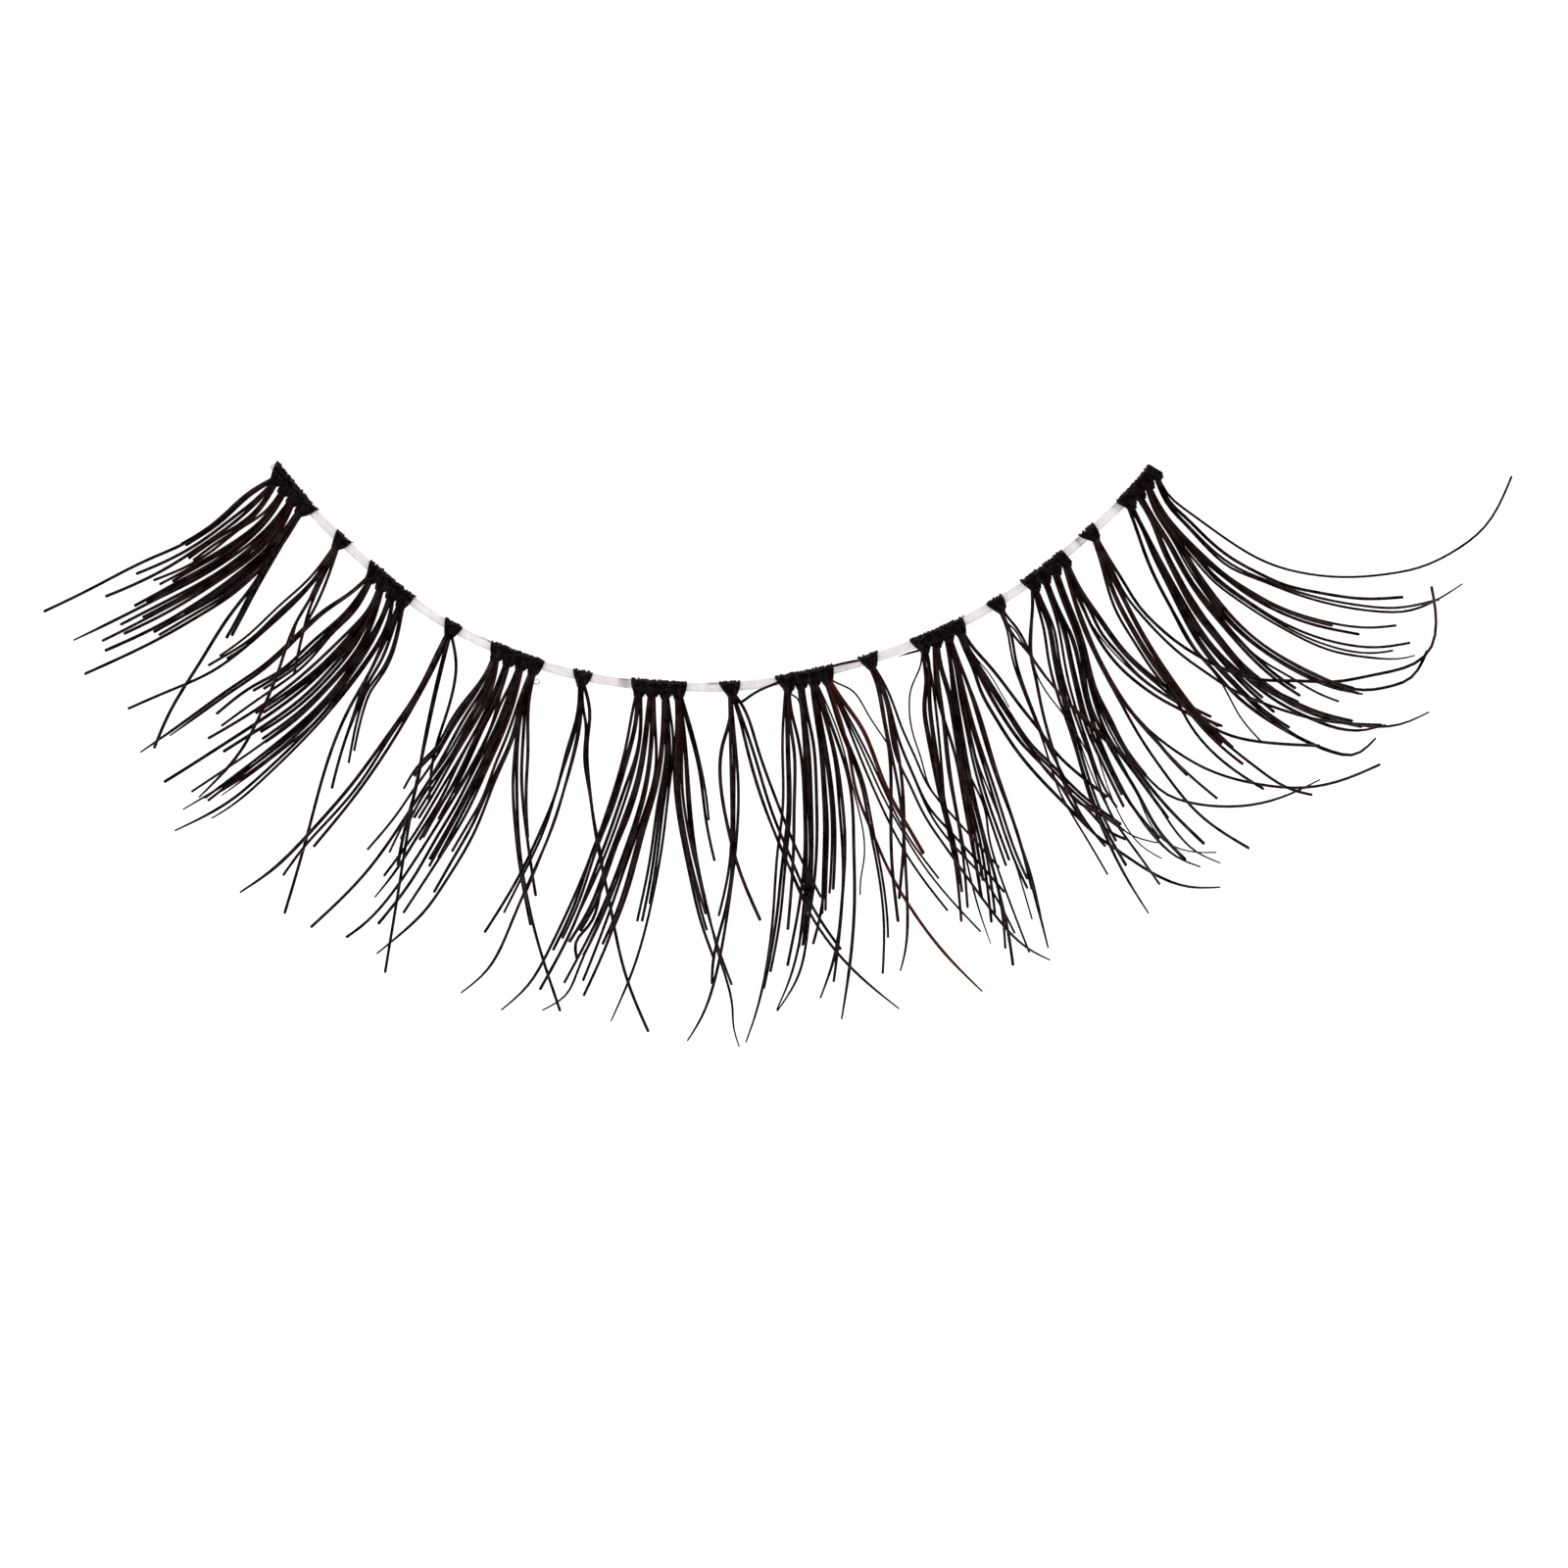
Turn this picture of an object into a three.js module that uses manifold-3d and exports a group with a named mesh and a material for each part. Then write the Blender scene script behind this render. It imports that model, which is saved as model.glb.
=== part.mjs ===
// Strip false eyelash: tufts of black hair knotted on a clear curved band.
// It lies on its knots and on the bellies of its tufts, with the tips curling up.
// Millimetres, +Z up. X runs along the lash from the inner to the outer corner of the eye,
// and Y from the tips to the lid. The origin is at the bottom, in the middle of the outline.

import * as THREE from "three";
import { mergeVertices } from "three/addons/utils/BufferGeometryUtils.js";
import Module from "manifold-3d";

// Band: a flat strip bent to the arc of a lid, whose lowest point is at x = 0
const BAND_RADIUS = 17.2;
const BAND_HALF_ANGLE = 53.9;
const BAND_WIDTH = 0.3;
const BAND_THICKNESS = 0.16;
const BAND_SEGMENTS = 63; // odd, so that a flat facet faces the lid at the middle
const HEADING_STEP = 0.01; // along the band, to take its heading by

// The strip is soft and strays a little from the arc. along: from the lowest point, out: past the arc
const BAND_DRIFT = [
  { along: -16.5, out: -0.14 },
  { along: -12.8, out: -0.13 },
  { along: -8, out: 0.1 },
  { along: -5, out: 0.11 },
  { along: 0, out: -0.02 },
  { along: 4.6, out: -0.14 },
  { along: 12, out: -0.08 },
  { along: 16.5, out: 0.12 },
];

// Knots: cups of wound hair round the band, side by side in the wide ones
const KNOT_HEIGHT = 0.5;
const CUP_PITCH = 0.41;
const CUP_SIDES = 8;
const TUNNEL_CLEARANCE = 0.03; // all round the band, where it runs through a knot
const TUNNEL_OVERRUN = 1; // degrees, so that the last knot's tunnel is open past the band's end

// One cup's sections, from the lid side to the neck that the hair leaves by:
// out is the distance from the band's middle line, and inset is taken off at the top and bottom
const CUP_SECTIONS = [
  { out: -0.27, halfWidth: 0.24, inset: 0.06 },
  { out: -0.19, halfWidth: 0.33, inset: 0 },
  { out: 0.05, halfWidth: 0.31, inset: 0 },
  { out: 0.2, halfWidth: 0.23, inset: 0.04 },
  { out: 0.32, halfWidth: 0.14, inset: 0.12 },
];
const NECK = CUP_SECTIONS.at(-1);

// Tufts: flattened horns that start just past the neck
const ROOT_GAP = 0.04;
const TUFT_SIDES = 6;
const TUFT_LEVELS = 9;
const TUFT_ROOT_HALF_WIDTH = 0.13;
const TUFT_HALF_WIDTH = 0.25;
const TUFT_TIP_HALF_WIDTH = 0.06;
const TUFT_FULLEST_AT = 0.5; // share of the length
const TUFT_FLATNESS = 0.6; // thickness for width
const BELLY_AT = 0.35; // share of the length where a cluster's tuft touches the floor
const WISP_CURL = 1.6; // power of the length by which a wisp rises
const LIFT_LENGTH = 10; // a tuft this long has the lift of its row, and others go by its square

// Clusters and wisps in order along the band. at: millimetres along the band from its lowest point.
// lift: how far a tip curls up. For each tuft, aim: heading at the root, in degrees from +X,
// bend: how far the heading turns by the tip, and length: in millimetres.
const CLUSTERS = [
  { name: "cluster_1", at: -14.98, lift: 2.2, aim: [217, 226, 231, 236], bend: [-14, -20, -28, -36],
    length: [8.1, 7.6, 8.2, 8.6] },
  { name: "wisp_1", at: -12.79, lift: 3.2, aim: [233], bend: [-30], length: [8.3] },
  { name: "cluster_2", at: -10.72, lift: 2.4, aim: [217, 231, 241, 252], bend: [-3, -19, -30, -46],
    length: [8.9, 8.9, 9.5, 9.6] },
  { name: "wisp_2", at: -8.35, lift: 3.4, aim: [243], bend: [-25], length: [10.4] },
  { name: "cluster_3", at: -6.14, lift: 2.6, aim: [243, 249, 254, 260], bend: [-10, -19, -29, -38],
    length: [8.4, 9.1, 9.6, 10.2] },
  { name: "wisp_3", at: -3.99, lift: 3.6, aim: [259], bend: [-20], length: [10.3] },
  { name: "cluster_4", at: -1.58, lift: 2.8, aim: [266, 269, 271, 271], bend: [-28, -32, -30, 18],
    length: [10.3, 10.5, 9.6, 11.3] },
  { name: "wisp_4", at: 0.68, lift: 3.8, aim: [272], bend: [-4], length: [8.4] },
  { name: "cluster_5", at: 3.06, lift: 3.0, aim: [270, 279, 290, 297], bend: [-10, -22, -28, -24],
    length: [9.6, 9.2, 8.8, 9.4] },
  { name: "wisp_5", at: 5.13, lift: 4.0, aim: [292], bend: [-30], length: [7.9] },
  { name: "cluster_6", at: 7.49, lift: 3.0, aim: [274, 280, 285, 302], bend: [7, 4, -2, 20],
    length: [8.3, 8.8, 10.2, 11.2] },
  { name: "wisp_6", at: 9.55, lift: 4.2, aim: [286], bend: [12], length: [8.9] },
  { name: "cluster_7", at: 11.42, lift: 4.4, aim: [283, 288, 292, 303], bend: [12, 13, 18, 24],
    length: [10.4, 8.8, 9.8, 7.2] },
  { name: "wisp_7", at: 13.24, lift: 4.4, aim: [293], bend: [36], length: [10.4] },
  { name: "cluster_8", at: 15.33, lift: 3.4, aim: [291, 296, 303, 319], bend: [46, 48, 60, 86],
    length: [10.2, 11, 10.8, 12] },
];

const radians = THREE.MathUtils.degToRad;

// Materials, one for each piece
const FINISHES = {
  band: { color: 0xe9e4e8, roughness: 0.25, metalness: 0, transparent: true, opacity: 0.45 },
  knot: { color: 0x14100f, roughness: 0.5, metalness: 0 },
  hair: { color: 0x1a1311, roughness: 0.38, metalness: 0 },
};

function piece(name, geometry, finish) {
  const mesh = new THREE.Mesh(geometry, new THREE.MeshStandardMaterial(FINISHES[finish]));
  mesh.name = name;
  return mesh;
}

// Joins and cuts
const wasm = await Module();
wasm.setup();

function solid(geometry) {
  const bare = geometry.clone();
  bare.deleteAttribute("normal");
  bare.deleteAttribute("uv");
  const merged = mergeVertices(bare);
  const vertProperties = new Float32Array(merged.attributes.position.array);
  const triVerts = new Uint32Array(merged.index.array);
  return new wasm.Manifold(new wasm.Mesh({ numProp: 3, vertProperties, triVerts }));
}

function geometryOf(body) {
  const mesh = body.getMesh();
  const geometry = new THREE.BufferGeometry();
  geometry.setAttribute("position", new THREE.BufferAttribute(mesh.vertProperties, 3));
  geometry.setIndex(new THREE.BufferAttribute(mesh.triVerts, 1));
  geometry.computeVertexNormals();
  return geometry;
}

// How far past the arc the band's line lies, eased from one station to the next
function drift(along) {
  const next = BAND_DRIFT.findIndex((station) => station.along > along);
  if (next < 1) return BAND_DRIFT.at(next).out;
  const from = BAND_DRIFT[next - 1];
  const to = BAND_DRIFT[next];
  return THREE.MathUtils.lerp(from.out, to.out, THREE.MathUtils.smoothstep(along, from.along, to.along));
}

function bandPoint(along) {
  const angle = along / BAND_RADIUS;
  const radius = BAND_RADIUS + drift(along);
  return new THREE.Vector2(radius * Math.sin(angle), BAND_RADIUS - radius * Math.cos(angle));
}

// A place on the band's middle line, and the heading that points away from the lid
function seatOnBand(along) {
  const { x, y } = bandPoint(along);
  const onward = bandPoint(along + HEADING_STEP).sub(bandPoint(along - HEADING_STEP));
  return { x, y, heading: onward.angle() - Math.PI / 2 };
}

// A flat strip along the band's line
function arcStrip(width, thickness, halfAngle) {
  const outline = [];
  [1, -1].forEach((side) => {
    for (let i = 0; i <= BAND_SEGMENTS; i += 1) {
      const angle = side * radians(halfAngle) * ((2 * i) / BAND_SEGMENTS - 1);
      const { x, y, heading } = seatOnBand(BAND_RADIUS * angle);
      const out = (side * width) / 2;
      outline.push(new THREE.Vector2(x + out * Math.cos(heading), y + out * Math.sin(heading)));
    }
  });
  const strip = new THREE.ExtrudeGeometry(new THREE.Shape(outline), { depth: thickness, bevelEnabled: false });
  return strip.translate(0, 0, (KNOT_HEIGHT - thickness) / 2);
}

// A closed tube through rings in order. Each ring has a middle, a heading, a half width across it,
// and a bottom and top. A flat side of the tube faces down.
function tubeThrough(rings, sides) {
  const tube = new THREE.CylinderGeometry(1, 1, rings.length - 1, sides, rings.length - 1);
  tube.rotateY(Math.PI / sides);
  const corner = 1 / Math.cos(Math.PI / sides);
  const points = tube.attributes.position;
  for (let i = 0; i < points.count; i += 1) {
    const ring = rings[Math.round(points.getY(i) + (rings.length - 1) / 2)];
    const across = points.getX(i) * corner * ring.halfWidth;
    const up = (1 + points.getZ(i) * corner) / 2;
    points.setXYZ(
      i,
      ring.x + across * Math.sin(ring.heading),
      ring.y - across * Math.cos(ring.heading),
      ring.bottom + (ring.top - ring.bottom) * up,
    );
  }
  return tube;
}

function cup(along) {
  const seat = seatOnBand(along);
  const rings = CUP_SECTIONS.map((section) => ({
    x: seat.x + section.out * Math.cos(seat.heading),
    y: seat.y + section.out * Math.sin(seat.heading),
    heading: seat.heading,
    halfWidth: section.halfWidth,
    bottom: section.inset,
    top: KNOT_HEIGHT - section.inset,
  }));
  return tubeThrough(rings, CUP_SIDES);
}

// A knot: its cups joined, with a tunnel for the band
const tunnel = solid(
  arcStrip(
    BAND_WIDTH + 2 * TUNNEL_CLEARANCE,
    BAND_THICKNESS + 2 * TUNNEL_CLEARANCE,
    BAND_HALF_ANGLE + TUNNEL_OVERRUN,
  ),
);

function knot(places) {
  const cups = places.map((along) => solid(cup(along)));
  const joined = cups.reduce((whole, next) => whole.add(next));
  return geometryOf(joined.subtract(tunnel));
}

// A tuft's half width at a share of its length: fullest part way, then tapering to the tip
function tuftHalfWidth(share) {
  if (share < TUFT_FULLEST_AT) {
    return THREE.MathUtils.lerp(TUFT_ROOT_HALF_WIDTH, TUFT_HALF_WIDTH, share / TUFT_FULLEST_AT);
  }
  const past = (share - TUFT_FULLEST_AT) / (1 - TUFT_FULLEST_AT);
  return THREE.MathUtils.lerp(TUFT_HALF_WIDTH, TUFT_TIP_HALF_WIDTH, past);
}

// The height of a tuft's underside: a cluster's dips to the floor and curls up, a wisp's only rises
function tuftBottom(share, lift, isWisp) {
  const rootBottom = KNOT_HEIGHT / 2 - TUFT_FLATNESS * TUFT_ROOT_HALF_WIDTH;
  if (isWisp) return rootBottom + lift * share ** WISP_CURL;
  if (share < BELLY_AT) return rootBottom * (1 - share / BELLY_AT) ** 2;
  return lift * ((share - BELLY_AT) / (1 - BELLY_AT)) ** 2;
}

function tuft(along, aim, bend, length, lift, isWisp) {
  const seat = seatOnBand(along);
  const tipLift = lift * (length / LIFT_LENGTH) ** 2;
  const start = NECK.out + ROOT_GAP;
  let x = seat.x + start * Math.cos(seat.heading);
  let y = seat.y + start * Math.sin(seat.heading);
  const rings = [];
  for (let level = 0; level <= TUFT_LEVELS; level += 1) {
    const share = level / TUFT_LEVELS;
    const halfWidth = tuftHalfWidth(share);
    const bottom = tuftBottom(share, tipLift, isWisp);
    const heading = level === 0 ? seat.heading : radians(aim + bend * share);
    rings.push({ x, y, heading, halfWidth, bottom, top: bottom + 2 * TUFT_FLATNESS * halfWidth });
    const onward = radians(aim + bend * (share + 0.5 / TUFT_LEVELS));
    x += (length / TUFT_LEVELS) * Math.cos(onward);
    y += (length / TUFT_LEVELS) * Math.sin(onward);
  }
  return tubeThrough(rings, TUFT_SIDES);
}

// The whole lash
const lash = new THREE.Group();
lash.add(piece("band", arcStrip(BAND_WIDTH, BAND_THICKNESS, BAND_HALF_ANGLE), "band"));

for (const { name, at, lift, aim, bend, length } of CLUSTERS) {
  const places = aim.map((_, i) => at + CUP_PITCH * (i - (aim.length - 1) / 2));
  const isWisp = aim.length === 1;
  lash.add(piece(`${name}_knot`, knot(places), "knot"));
  places.forEach((along, i) => {
    const tuftName = isWisp ? `${name}_tuft` : `${name}_tuft_${i + 1}`;
    lash.add(piece(tuftName, tuft(along, aim[i], bend[i], length[i], lift, isWisp), "hair"));
  });
}

// The origin goes to the middle of the underside
const outline = new THREE.Box3().setFromObject(lash, true);
const middle = outline.getCenter(new THREE.Vector3());
lash.position.set(-middle.x, -middle.y, -outline.min.z);

export default lash;
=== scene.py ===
import math
from collections import namedtuple

import bpy
import numpy as np
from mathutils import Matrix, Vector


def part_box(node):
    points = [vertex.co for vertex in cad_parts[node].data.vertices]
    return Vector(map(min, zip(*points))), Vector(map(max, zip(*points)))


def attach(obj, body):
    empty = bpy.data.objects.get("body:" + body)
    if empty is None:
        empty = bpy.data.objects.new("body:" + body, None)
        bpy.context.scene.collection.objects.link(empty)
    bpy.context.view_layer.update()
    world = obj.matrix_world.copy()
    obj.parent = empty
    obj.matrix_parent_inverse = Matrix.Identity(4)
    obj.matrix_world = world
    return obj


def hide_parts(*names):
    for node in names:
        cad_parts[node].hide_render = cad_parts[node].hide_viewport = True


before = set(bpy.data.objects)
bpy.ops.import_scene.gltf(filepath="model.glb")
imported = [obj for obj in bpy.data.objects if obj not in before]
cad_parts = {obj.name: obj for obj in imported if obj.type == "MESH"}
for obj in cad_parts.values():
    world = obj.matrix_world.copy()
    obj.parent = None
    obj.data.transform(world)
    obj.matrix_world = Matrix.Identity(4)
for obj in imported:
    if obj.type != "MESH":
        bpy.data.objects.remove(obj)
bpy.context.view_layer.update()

# The lash is drawn in millimetres, in the band's own frame: x from the middle of the band towards
# the outer corner of the eye, y up towards the lid from the lowest point of the band's middle line,
# and z up from the surface it lies on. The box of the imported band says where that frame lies.
MM = 0.001

# What is uneven is drawn at random from one seed, with angles anywhere in a whole turn
SEED = 11
ANY_ANGLE = (0, 6.3)

# An unevenness that comes and goes: its size, its pace and the angle that it starts at
Wave = namedtuple("Wave", "size pace start", defaults=(0,))

# What the photograph shows, in the band's frame, and the lens
PHOTO_CENTRE = (2.338, -3.015)
PHOTO_WIDTH = 49.23
LENS = 800
SENSOR = 36
CLIP = (0.05, 10)

# Floor and light, in metres: the floor glows, so that it stays white under the lash
WHITE = (1, 1, 1, 1)
FLOOR_HALF_SIZE = 1.0
FLOOR_GREY = (0.5, 0.5, 0.5, 1)
FLOOR_ROUGHNESS = 0.9
FLOOR_SPECULAR = 0.1
FLOOR_GLOW = 0.95
SKY_STRENGTH = 0.62
LAMP_PLACE = (-0.12, 0.1, 0.32)
LAMP_SIZE = 0.09
LAMP_POWER = 0.22

# The band: a strip bent to an arc, and how high its middle lies above the surface
BAND_RADIUS = 17.2
BAND_HALF_ANGLE = math.radians(53.9)
BAND_WIDTH = 0.3
BAND_MIDDLE_Z = 0.25
BAND_STEPS = 320
OUTLINE_STEPS = 400

# The strip is soft and strays a little from the arc: where along it, and how far past the arc
Drift = namedtuple("Drift", "along out")
BAND_DRIFT = [
    Drift(-16.5, -0.14),
    Drift(-12.8, -0.13),
    Drift(-8.0, 0.1),
    Drift(-5.0, 0.11),
    Drift(0.0, -0.02),
    Drift(4.6, -0.14),
    Drift(12.0, -0.08),
    Drift(16.5, 0.12),
]

# How far short of its full length the strip is cut at the left and at the right, and its ends' bulge
BAND_TRIM = (0.15, 0.3)
BAND_END_BULGE = 0.02

# Top of the strip's cross-section from its lid side to its middle, with a bead along the edge
Rim = namedtuple("Rim", "out up")
BAND_HALF_TOP = [
    Rim(-0.15, 0.0),
    Rim(-0.145, 0.045),
    Rim(-0.12, 0.07),
    Rim(-0.09, 0.062),
    Rim(-0.06, 0.05),
    Rim(0.0, 0.046),
]

# Unevenness of the strip's width and height along it, and from step to step
BAND_WIDTH_WAVES = [Wave(0.03, 2.3), Wave(0.025, 5.1, 1)]
BAND_WIDTH_SCATTER = 0.006
BAND_HEIGHT_WAVES = [Wave(0.08, 3.7, 2)]
BAND_HEIGHT_SCATTER = 0.02

# Colours of the strip: its clear colour and a darker colour at its edges, which is painted shade where the
# curved edges bend the light, and how far from its middle the clear one turns into the edges'
BAND_CLEAR = (0.93, 0.87, 0.88)
PAINTED_EDGE_SHADE = (0.8, 0.74, 0.75)
PAINTED_EDGE_SHADE_SPAN = (0.08, 0.14)

# How much the strip hides of what is under it, and its streaks: how strong they are in its colour,
# how many times that in what it hides, and the steps that each is smoothed over
BAND_COVER = 0.51
BAND_STREAK = 0.3
COVER_STREAK = 2
STREAK_STEPS = 11

# A dark line of glue on the lid side: its colour, where it lies across the strip, how its strength
# comes and goes along it, with the mean and the spread of its scatter, and the most that it reaches
BAND_SMUDGE = (0.12, 0.095, 0.095)
LID_SIDE_SPAN = (0.06, 0.11)
GLUE_WAVES = [Wave(0.5, 1.7, 1), Wave(0.4, 4.3)]
GLUE_SCATTER = (-0.3, 0.2)
GLUE_MOST = 0.7

# Dark smudges of glue and thread across the band beside knots: each ends at so many half lengths,
# is speckled, and is fainter on the hair side
Smudge = namedtuple("Smudge", "along half_length strength")
SMUDGES = [
    Smudge(-2.7, 0.16, 0.9),
    Smudge(4.35, 0.3, 0.4),
    Smudge(12.82, 0.12, 0.9),
    Smudge(14.42, 0.16, 0.8),
]
SMUDGE_END = 1.4
SMUDGE_SPECKLE = (0.3, 1)
SMUDGE_HAIR_SIDE = 0.6

# Knots: where each sits along the band, how many tufts it ties, how far a hair of LIFT_LENGTH lifts,
# and how far the winding reaches past its end tufts on the lid side
Knot = namedtuple("Knot", "name along tufts lift reach")
KNOTS = [
    Knot("cluster_1", -14.98, 4, 2.2, 0.39),
    Knot("wisp_1", -12.79, 1, 3.2, 0.32),
    Knot("cluster_2", -10.72, 4, 2.4, 0.3),
    Knot("wisp_2", -8.35, 1, 3.4, 0.32),
    Knot("cluster_3", -6.14, 4, 2.6, 0.28),
    Knot("wisp_3", -3.99, 1, 3.6, 0.32),
    Knot("cluster_4", -1.58, 4, 2.8, 0.27),
    Knot("wisp_4", 0.68, 1, 3.8, 0.32),
    Knot("cluster_5", 3.06, 4, 3.0, 0.33),
    Knot("wisp_5", 5.13, 1, 4.0, 0.33),
    Knot("cluster_6", 7.49, 4, 3.0, 0.3),
    Knot("wisp_6", 9.55, 1, 4.2, 0.3),
    Knot("cluster_7", 11.42, 4, 4.4, 0.2),
    Knot("wisp_7", 13.24, 1, 4.4, 0.31),
    Knot("cluster_8", 15.33, 4, 3.4, 0.16),
]
CUP_PITCH = 0.41

# The neck that a tuft's loops are drawn in to: how far out it is, half its width, and how much of
# that the hairs fill
Neck = namedtuple("Neck", "out half_width")
CLUSTER_NECK = Neck(0.33, 0.12)
WISP_NECK = Neck(0.26, 0.115)
NECK_FILL = 0.62
NECK_HALF_HEIGHT = 0.06

# One side of a tuft's loops: how far it reaches on the lid side, and from where it is drawn in.
# Between the tufts of a cluster the loops stay side by side as far as the bar reaches. A bowl's power
# over 1 keeps them wide for longer before the neck.
Edge = namedtuple("Edge", "reach drawn_from")
LID_OUT = -0.2
BAR_OUT = 0.14
BOWL = 1.8

# Loops of thread round the band at each tuft
LOOPS = 8
LOOP_TURNS = 1.2
LOOP_STEPS = 24
LOOP_SIDES = 8
LOOP_STRAND = 0.046
LOOP_WIDTHS = (0.8, 1.15)
LOOP_SWELL = [Wave(0.12, 2.3)]
LOOP_LID_OUT = -0.155
LOOP_HALF_HEIGHT = 0.18
LOOP_HIGHEST = 1.03
LOOP_SLANT = 0.04
LOOP_SLANTS = (0.5, 1.3)
LOOP_SCATTER = 0.04
LOOP_WAVES = [Wave(0.06, 1.4)]

# The gathered strands of a tuft inside its loops: their form from the lid side to past the neck,
# each section at a share of that way, and how the strands run on it
CUP_HEIGHT = 0.25
CUP_LID_OUT = -0.13
CUP_ROUNDING = 0.09
CUP_LEVELS = 14
CUP_SIDES = 12
Section = namedtuple("Section", "share half_height")
CUP_SECTIONS = [
    Section(0, 0.12),
    Section(0.35, 0.16),
    Section(0.7, 0.14),
    Section(1, 0.085),
]
CUP_STRANDS = 11
CUP_STRAND = 0.036
CUP_STRAND_SIDES = 6
CUP_STRAND_WIDTHS = (0.85, 1.15)
CUP_STRAND_PLACES = (-0.3, 0.3)
CUP_STRAND_TWIST = (0.3, 1.5)

# A collar wound round those strands: where it starts and ends past the neck, and how it sits on them
COLLAR_STRAND = 0.024
COLLAR_SIDES = 7
COLLAR_TURNS = 1.6
COLLAR_STEPS = 20
COLLAR_OUT = (-0.03, 0.03)
COLLAR_WAVES = [Wave(0.015, 1, 1)]
COLLAR_SEAT = 0.6

# Two threads twisted together along the top of the winding, with so many steps for each tuft
LASH_STRAND = 0.028
LASH_SIDES = 7
LASH_STEPS = 12
LASH_REACH = 0.7
LASH_OUT = -0.02
LASH_HALF_OUT = 0.06
LASH_RISE = 0.6
LASH_TWIST = 9
LASH_WAVES = [Wave(0.02, 3.1)]

# Cut ends of thread that stand out of the winding on the lid side, so many for each tuft
CUT_ENDS = 2
CUT_END_RADIUS = 0.028
CUT_END_TAPER = 0.6
CUT_END_STEPS = 5
CUT_END_SIDES = 6
CUT_END_ROOT = 0.07
CUT_END_LENGTHS = (0.05, 0.08)
CUT_END_HEIGHTS = (0, 0.12)
CUT_END_TILTS = (-0.05, 0.05)
CUT_END_SPLAY = 0.08

# Stray ends of thread on the knots: the knot, the strand's width, its height and its points
Stray = namedtuple("Stray", "knot width height route")
STRAYS = [
    Stray("cluster_5", 0.09, 0.33, [(3.7, 0.62), (4.05, 0.74), (4.5, 0.83), (5.0, 0.92)]),
    Stray("cluster_6", 0.08, 0.2, [(6.75, 1.22), (6.45, 1.14), (6.2, 1.07), (5.95, 0.99)]),
    Stray("cluster_3", 0.03, 0.3, [(-5.6, 0.25), (-5.45, 0.12), (-5.33, 0.17), (-5.4, 0.27), (-5.5, 0.22)]),
]
STRAY_STEPS = 16
STRAY_SIDES = 7
Taper = namedtuple("Taper", "share width")
STRAY_TAPER = [Taper(0, 1), Taper(0.6, 0.9), Taper(1, 0.3)]

# Hair: its tube, how much fuller it is than the widths in the table of locks, and how far out it starts
HAIR_STEPS = 40
HAIR_SIDES = 8
HAIR_FULLNESS = 1.24
HAIR_WIDTHS = (0.92, 1.08)
ROOT_OUT = 0.2

# How the hairs of one lock part, wave, lean and differ in length
LOCK_SPREAD = 0.125
LOCK_SCATTER = 0.01
LOCK_PARTING = 0.5
LOCK_LEAN = 0.01
HAIR_WAVE = 0.012
HAIR_WAVE_PACES = (5, 11)
TIP_SCATTER = 0.12

# How a hair lifts with its length: a wisp's all the way, a cluster's only past its belly. The hairs lie
# over each other to the tuft's full depth from a share of their length on.
LIFT_LENGTH = 10
LONGEST_LIFT = 10.4
WISP_CURL = 1.6
BELLY_AT = 0.35
TUFT_DEPTH = 0.22
TUFT_DEPTH_AT = 0.3

# Width of a hair's tip as a share of its full width, and where a fine tip starts to narrow
CUT = 0.88
FINE = 0.55
FINE_FROM = 0.86

# Colours of hair and thread, dark enough to read as black, and how rare the lighter ones are
BLACK = (0.0036, 0.0011, 0.0011)
BROWN = (0.02, 0.0068, 0.006)
RED_BROWN = (0.07, 0.012, 0.008)
PURPLE = (0.05, 0.016, 0.03)
GLUE_GREY = (0.012, 0.009, 0.009)
BROWN_RARENESS = 2
GREY_RARENESS = 3
TINT_EASE = 0.1

# The rounded ends of a strand, as shares of its radius there: how far past its end the last ring
# stands, how wide that ring is, and how far past the ring the point stands as a share of the ring
END_RING_OUT = 0.4
END_RING_WIDTH = 0.7
END_POINT_OUT = 0.3

# A direction that no strand sets out in, to start its rings from
OFF_STRAND = (0.31, 0.17, 0.93)

# Finishes: noises with their features per metre and their lowest and highest value, a grain with
# its depth in metres, and a shine that shows in places with its own tint
Cloud = namedtuple("Cloud", "scale low high at", defaults=((0.3, 0.7),))
Grain = namedtuple("Grain", "scale strength depth")
Finish = namedtuple("Finish", "shade roughness grain shine shine_tint", defaults=(None, None))
HAIR_FINISH = Finish(
    Cloud(2500, 0.6, 1.5),
    Cloud(9000, 0.26, 0.45),
    Grain(30000, 0.25, 0.00001),
    Cloud(2200, 0.0, 0.3, (0.4, 0.66)),
    (1, 0.7, 0.7, 1),
)
KNOT_FINISH = Finish(
    Cloud(6000, 0.5, 1.8),
    Cloud(4500, 0.1, 0.32),
    Grain(25000, 0.5, 0.00002),
    Cloud(7000, 0.01, 0.22, (0.4, 0.75)),
    (1, 0.9, 0.9, 1),
)
BAND_FINISH = Finish(Cloud(3000, 0.85, 1.15), Cloud(8000, 0.08, 0.25), Grain(7000, 0.4, 0.00002))
BAND_IOR = 1.49
NOISE_DETAIL = 4.0
NOISE_ROUGHNESS = 0.6
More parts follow.
